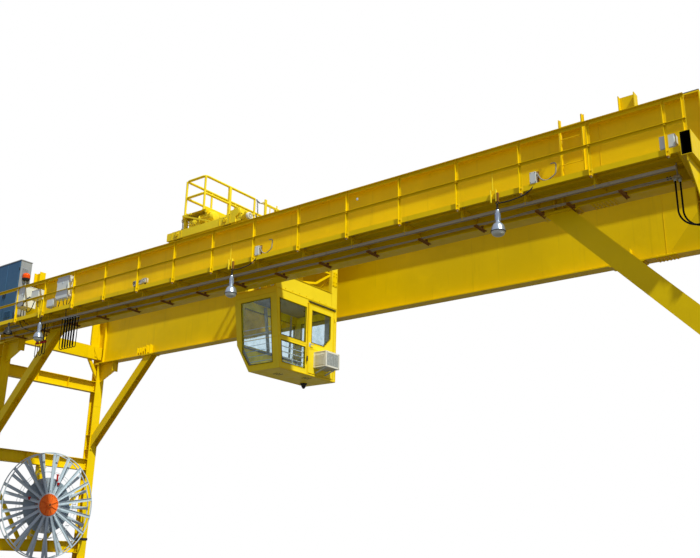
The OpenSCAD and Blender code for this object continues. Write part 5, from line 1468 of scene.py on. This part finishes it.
# Platform: joints of the chequer plate, corner plates and kick plates
for y in (-1.4, -0.7, 0.0, 0.7, 1.4):
    p.block(-3.06, -2.065, *span(y, 0.004), 11.607, 11.611)
for x in (-3.07, -2.055):
    for s in (-1, 1):
        p.block(x - 0.008 if x < -3 else x - 0.002, x + 0.002 if x < -3 else x + 0.008, s * 2.0 - 0.09,
                s * 2.0 + 0.09, 11.49, 11.6, 0.002)
        for dy in (-0.05, 0.05):
            p.bolt((x - 0.008 if x < -3 else x + 0.008, s * 2.0 + dy, 11.545), (-1 if x < -3 else 1, 0, 0), 0.02)
for x in (-3.0, -2.205):
    for i in range(5):
        y = 0.07 if x > -2.5 and i == 2 else -2.07 + i * 1.035
        p.block(*span(x, 0.055), max(y - 0.055, -2.1), min(y + 0.055, 2.1), 11.608, 11.62, 0.002)
for x in (-3.03, -2.18):
    p.block(*span(x, 0.003), -2.06, 2.06, 11.615, 11.715)
p.done()

p = Piece("hoist_machinery", "yellow_machinery", "trolley")
# Gearbox
p.block(-2.89, -2.33, -1.72, -1.16, 11.288, 11.312, 0.005)
p.block(-2.85, -2.37, -1.68, -1.2, 11.462, 11.48, 0.006)
for k in range(6):
    x = -2.8 + 0.076 * k
    for y, s in ((-1.7, -1), (-1.18, 1)):
        p.block(*span(x, 0.005), y, y + s * 0.016, 11.15, 11.28)
for x, z, r in ((-2.62, 11.3, 0.085), (-2.75, 11.22, 0.06), (-2.47, 11.24, 0.075)):
    p.spin((x, -1.7, z), TO_FRONT, [(r, 0), (r, 0.018), (r * 0.7, 0.024), (r * 0.6, 0.036)], 24)
p.use("dark_steel")
for k in range(5):
    x = -2.84 + 0.11 * k
    for y in (-1.705, -1.175):
        p.bolt((x, y, 11.312), UP, 0.018)
        p.bolt((x, y, 11.144), UP, 0.022)
# Motor
p.use("motor_grey")
p.fins((HOIST_MOTOR_X, -0.84, HOIST_MOTOR_Z), "Y", 28, 0.138, (0.022, 0.46, 0.006))
p.spin((HOIST_MOTOR_X, -0.62, HOIST_MOTOR_Z), BACK, [(0.13, 0), (0.148, 0.006), (0.148, 0.115), (0.125, 0.112),
        (0.0, 0.112)], 30)
p.spin((HOIST_MOTOR_X, -1.1, HOIST_MOTOR_Z), TO_FRONT, [(0.155, 0), (0.155, 0.025), (0.12, 0.03)], 28)
p.block(-2.7, -2.54, -0.96, -0.8, 11.44, 11.52, 0.01)
for y in (-1.02, -0.7):
    p.block(-2.8, -2.44, *span(y, 0.03), 11.139, 11.2, 0.006)
p.use("dark_steel")
p.fins((HOIST_MOTOR_X, -0.506, HOIST_MOTOR_Z), "Y", 9, 0.075, (0.09, 0.006, 0.012))
# Brake on the other side of the middle, resistor boxes and cable tray on the bed
p.use("yellow_machinery")
p.block(-2.95, -2.3, 0.35, 1.25, 11.139, 11.21, 0.006)
for k in range(5):
    y = 0.44 + 0.17 * k
    p.block(-2.9, -2.35, *span(y, 0.06), 11.21, 11.5, 0.008)
p.use("dark_steel")
for k in range(5):
    y = 0.44 + 0.17 * k
    for z in (11.27, 11.33, 11.39, 11.45):
        p.block(-2.345, -2.338, *span(y, 0.045), *span(z, 0.012), 0.002)
        p.block(-2.91, -2.902, *span(y, 0.045), *span(z, 0.012), 0.002)
p.use("yellow_machinery")
p.rod((HOIST_MOTOR_X, -0.5, HOIST_MOTOR_Z), (HOIST_MOTOR_X, 0.34, HOIST_MOTOR_Z), 0.03, 14)
p.spin((HOIST_MOTOR_X, -0.1, HOIST_MOTOR_Z), BACK, [(0.07, 0), (0.13, 0.01), (0.13, 0.06), (0.07, 0.07)], 28)
# Gear guard from the gearbox to the drum
p.use("yellow_machinery")
p.bar((-2.36, -1.44, 11.3), (-2.06, -1.38, 11.16), 0.14, 0.12, 0.01)
p.done()

# Grooved drum with its rope
p = Piece("drum_winding", "dark_steel", "trolley")
for s in (-1, 1):
    for k in range(26):
        y = s * (0.1 + 0.0375 * k)
        p.ring((HOIST_X, y, DRUM_Z), BACK, 0.312, 0.0095, 48, 6)
    p.ring((HOIST_X, s * 1.1, DRUM_Z), BACK, 0.362, 0.012, 56, 8)
    p.bolt_circle((HOIST_X, s * 1.115, DRUM_Z), (0, s, 0), 0.25, 8, 0.024)
    at = Vector((HOIST_X, s * 1.28, DRUM_Z))
    p.use("yellow_machinery")
    p.spin(at, (0, s, 0), [(0.12, 0), (0.12, 0.016), (0.09, 0.022), (0.075, 0.05), (0.0, 0.052)], 24)
    p.use("dark_steel")
    p.bolt_circle(at + Vector((0, s * 0.016, 0)), (0, s, 0), 0.102, 6, 0.016, 30)
p.done()

for i, (dx, y) in enumerate([(dx, y) for dx in (-0.155, 0.155) for y in (-0.42, -0.14, 0.14, 0.42)]):
    x, top = HOIST_X + dx, 10.676
    cord_mesh("hoist_rope_%d" % (i + 1), "rope_steel", [(x, y, top - 0.316 * k / 19) for k in range(20)], 0.019,
            "trolley",
              hides=("hoist_ropes",) if i == 0 else ())

p = Piece("hook_block_fittings", "yellow_machinery", "trolley")
for y in (-0.42, -0.14, 0.14, 0.42):
    p.use("yellow_machinery")
    for s in (-1, 1):
        y0, y1 = sorted((y + s * 0.055, y + s * 0.067))
        p.prism([(HOIST_X - 0.2, y0, 10.36), (HOIST_X - 0.13, y0, 10.42), (HOIST_X + 0.13, y0, 10.42),
                (HOIST_X + 0.2, y0, 10.36)],
                (0, y1 - y0, 0))
    p.use("dark_steel")
    p.spin((HOIST_X, y - 0.03, 10.26), BACK, [(0.165, 0), (0.165, 0.008), (0.145, 0.022), (0.145, 0.038),
            (0.165, 0.052), (0.165, 0.06)], 36)
p.use("dark_steel")
for s in (-1, 1):
    p.spin((HOIST_X, s * 0.52, 10.22), (0, s, 0), [(0.075, 0), (0.075, 0.012), (0.05, 0.016), (0.05, 0.03)], 24)
    for dx in (-0.17, 0.17):
        for z in (10.1, 10.32):
            p.bolt((HOIST_X + dx, s * 0.52, z), (0, s, 0), 0.022)
p.use("yellow_machinery")
for s in (-1, 1):
    x0, x1 = HOIST_X + s * 0.22, HOIST_X + s * 0.232
    p.block(x0, x1, -0.5, 0.5, 10.075, 10.12, 0.003)
    p.block(x0, x1, -0.5, 0.5, 10.3, 10.345, 0.003)
    for y in (-0.28, 0.0, 0.28):
        p.block(x0, x1, *span(y, 0.02), 10.12, 10.3, 0.003)
p.use("dark_steel")
p.spin((HOIST_X, 0, 10.06), DOWN, [(0.1, 0), (0.1, 0.03), (0.075, 0.045), (0.062, 0.09)], 24)
p.bar((HOIST_X, 0.055, 9.885), (HOIST_X, 0.105, 9.79), 0.05, 0.008)
p.done()

# Motors at the trolley's wheels
p = Piece("travel_motor_cases", "yellow_machinery", "trolley")
for sy in (-1, 1):
    y, z = sy * GIRDER_Y, BEAM_Z + 0.12
    p.use("yellow_machinery")
    p.spin((-0.6, y, z), RIGHT, [(0.105, 0), (0.105, 0.015), (0.093, 0.02), (0.093, 0.185), (0.097, 0.19)], 30)
    p.use("white_plastic")
    p.spin((-0.412, y, z), RIGHT, [(0.098, 0), (0.103, 0.005), (0.103, 0.065), (0.09, 0.078), (0.0, 0.08)], 30)
    p.use("yellow_machinery")
    p.fins((-0.495, y, z), "X", 20, 0.098, (0.16, 0.012, 0.004))
    p.block(-0.55, -0.44, *span(y, 0.05), z + 0.09, z + 0.15, 0.008)
    p.use("dark_steel")
    for r in (0.035, 0.06):
        p.ring((-0.331, y, z), RIGHT, r, 0.003, 24, 6)
    for dy in (-0.075, 0.075):
        for dz in (-0.09, 0.1):
            p.bolt((-0.6, y + dy, z + dz), RIGHT, 0.016)
    p.use("yellow_machinery")
    p.block(-0.806, -0.594, *span(y, 0.096), *span(z, 0.01), 0.004)
p.done()

# Handrail of the platform: bent tubes, posts with their feet, and a gate with chains
p = Piece("handrail_tubes", "yellow_machinery", "trolley")
RX0, RX1, RY = -3.0, -2.205, 2.07
for z in (12.163, 12.718):
    p.tube(rounded([(RX1, 0.07, z), (RX1, -RY, z), (RX0, -RY, z), (RX0, RY, z), (RX1, RY, z), (RX1, 0.45, z)],
            0.12), 0.04, 12)
for x in (RX0, RX1):
    for i in range(5):
        y = -RY + i * RY / 2
        if x == RX1 and i == 2:
            y = 0.07
        p.rod((x, y, 11.608), (x, y, 12.715), 0.034, 14)
p.block(*span(RX1, 0.045), -1.08, -0.995, 11.609, 12.7, 0.006)
for y, w, top in ((0.45, 0.09, 12.8), (0.68, 0.035, 12.7), (1.0, 0.045, 12.78)):
    p.block(-2.105, -2.105 + w * 0.55, y - w / 2, y + w / 2, 11.609, top, 0.004)
    p.block(-2.13, -2.06, y - w / 2 - 0.03, y + w / 2 + 0.03, 11.608, 11.62, 0.003)
p.rod((-2.095, 0.45, 12.62), (-2.095, 1.0, 12.62), 0.018, 10)
obj = p.done()
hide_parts("trolley_handrail")

p = Piece("gate_chains", "dark_steel", "trolley")
for y0, y1, z in ((0.1, 0.41, 12.7), (0.1, 0.41, 12.16), (1.02, 1.3, 12.62)):
    n = 9
    for k in range(n):
        t = (k + 0.5) / n
        y = y0 + (y1 - y0) * t
        dip = 0.06 * 4 * t * (1 - t)
        p.use("dark_steel" if k < n // 2 else "white_plastic")
        p.ring((-2.16, y, z - dip), UP if k % 2 else RIGHT, 0.026, 0.008, 14, 6)
p.use("dark_steel")
for k in range(10):
    p.ring((-2.16, 0.15 + 0.004 * k, 12.62 - 0.04 * k), BACK if k % 2 else RIGHT, 0.022, 0.007, 14, 6)
p.done()

# Gear motor over the near side beam, braces and pipes around it
p = Piece("beam_machinery", "yellow_machinery", "trolley")
for sy in (-1, 1):
    y, z = sy * 1.9, 11.36
    p.spin((-2.4, y, z), RIGHT, [(0.1, 0), (0.185, 0.01), (0.185, 0.05), (0.145, 0.06), (0.145, 0.46), (0.165, 0.465),
                                      (0.165, 0.52), (0.135, 0.57), (0.06, 0.59), (0.0, 0.59)], 30)
    p.fins((-2.12, y, z), "X", 14, 0.156, (0.38, 0.028, 0.01))
    p.block(-2.3, -1.82, *span(y, 0.1), 11.138, 11.22, 0.008)
    p.block(-2.24, -2.02, *span(y, 0.08), z + 0.13, z + 0.22, 0.016)
    p.block(-1.06, -0.63, sy * 2.0 - 0.115, sy * 2.0 + 0.115, 11.1, 11.3, 0.025)
    p.spin((-0.8, sy * 2.0, 11.19), (0, sy, 0), [(0.1, 0.09), (0.13, 0.1), (0.13, 0.128), (0.06, 0.13),
            (0.0, 0.13)], 26)
    p.block(-1.25, -1.08, sy * 2.0 - 0.09, sy * 2.0 + 0.09, 11.128, 11.22, 0.015)
    p.block(-2.86, -2.36, y - 0.125, y + 0.115, 11.138, 11.43, 0.02)
    p.block(-2.88, -2.34, y - 0.14, y + 0.13, 11.27, 11.295, 0.005)
    p.spin((TRAVEL_MOTOR_X, y + sy * 0.12, TRAVEL_MOTOR_Z), (0, sy, 0), [(0.11, 0), (0.11, 0.02), (0.08, 0.03),
            (0.05, 0.05),
            (0.0, 0.05)], 26)
    p.spin((-2.9, y, 11.27), UP, [(0.03, 0), (0.03, 0.14), (0.05, 0.15), (0.05, 0.19)], 16)
    p.bar((-2.98, sy * 2.115, 11.56), (-1.84, sy * 2.115, 11.15), 0.022, 0.045)
    p.block(-3.06, -2.66, sy * 2.115 - 0.012, sy * 2.115 + 0.012, 11.55, 11.6, 0.003)
    p.tube(rounded([(-3.0, sy * 1.98, 11.14), (-3.0, sy * 1.98, 11.34), (-2.84, sy * 1.98, 11.4),
            (-2.8, sy * 1.98, 11.16)], 0.08), 0.02, 10)
    p.use("dark_steel")
    p.bolt_circle((TRAVEL_MOTOR_X, y + sy * 0.14, TRAVEL_MOTOR_Z), (0, sy, 0), 0.09, 6, 0.014)
    for x in (-2.83, -2.39):
        p.bolt((x, y - sy * 0.0 + sy * 0.1, 11.43), UP, 0.016)
    p.use("yellow_machinery")
p.done()

# Cables and hooks hanging below the platform's left end
p = Piece("platform_hangers", "dark_steel", "trolley")
for y, low in ((-2.06, 11.16), (-1.96, 11.24), (-1.86, 11.2)):
    p.rod((-3.085, y, 11.52), (-3.085, y, low), 0.012, 8)
    p.ring((-3.085, y, low), RIGHT, 0.03, 0.01, 20, 6)
p.use("white_plastic")
p.block(-3.11, -3.075, -2.1, -2.03, 11.4, 11.49, 0.008)
p.block(-3.1, -3.08, -2.0, -1.95, 11.22, 11.34, 0.006)
p.done()
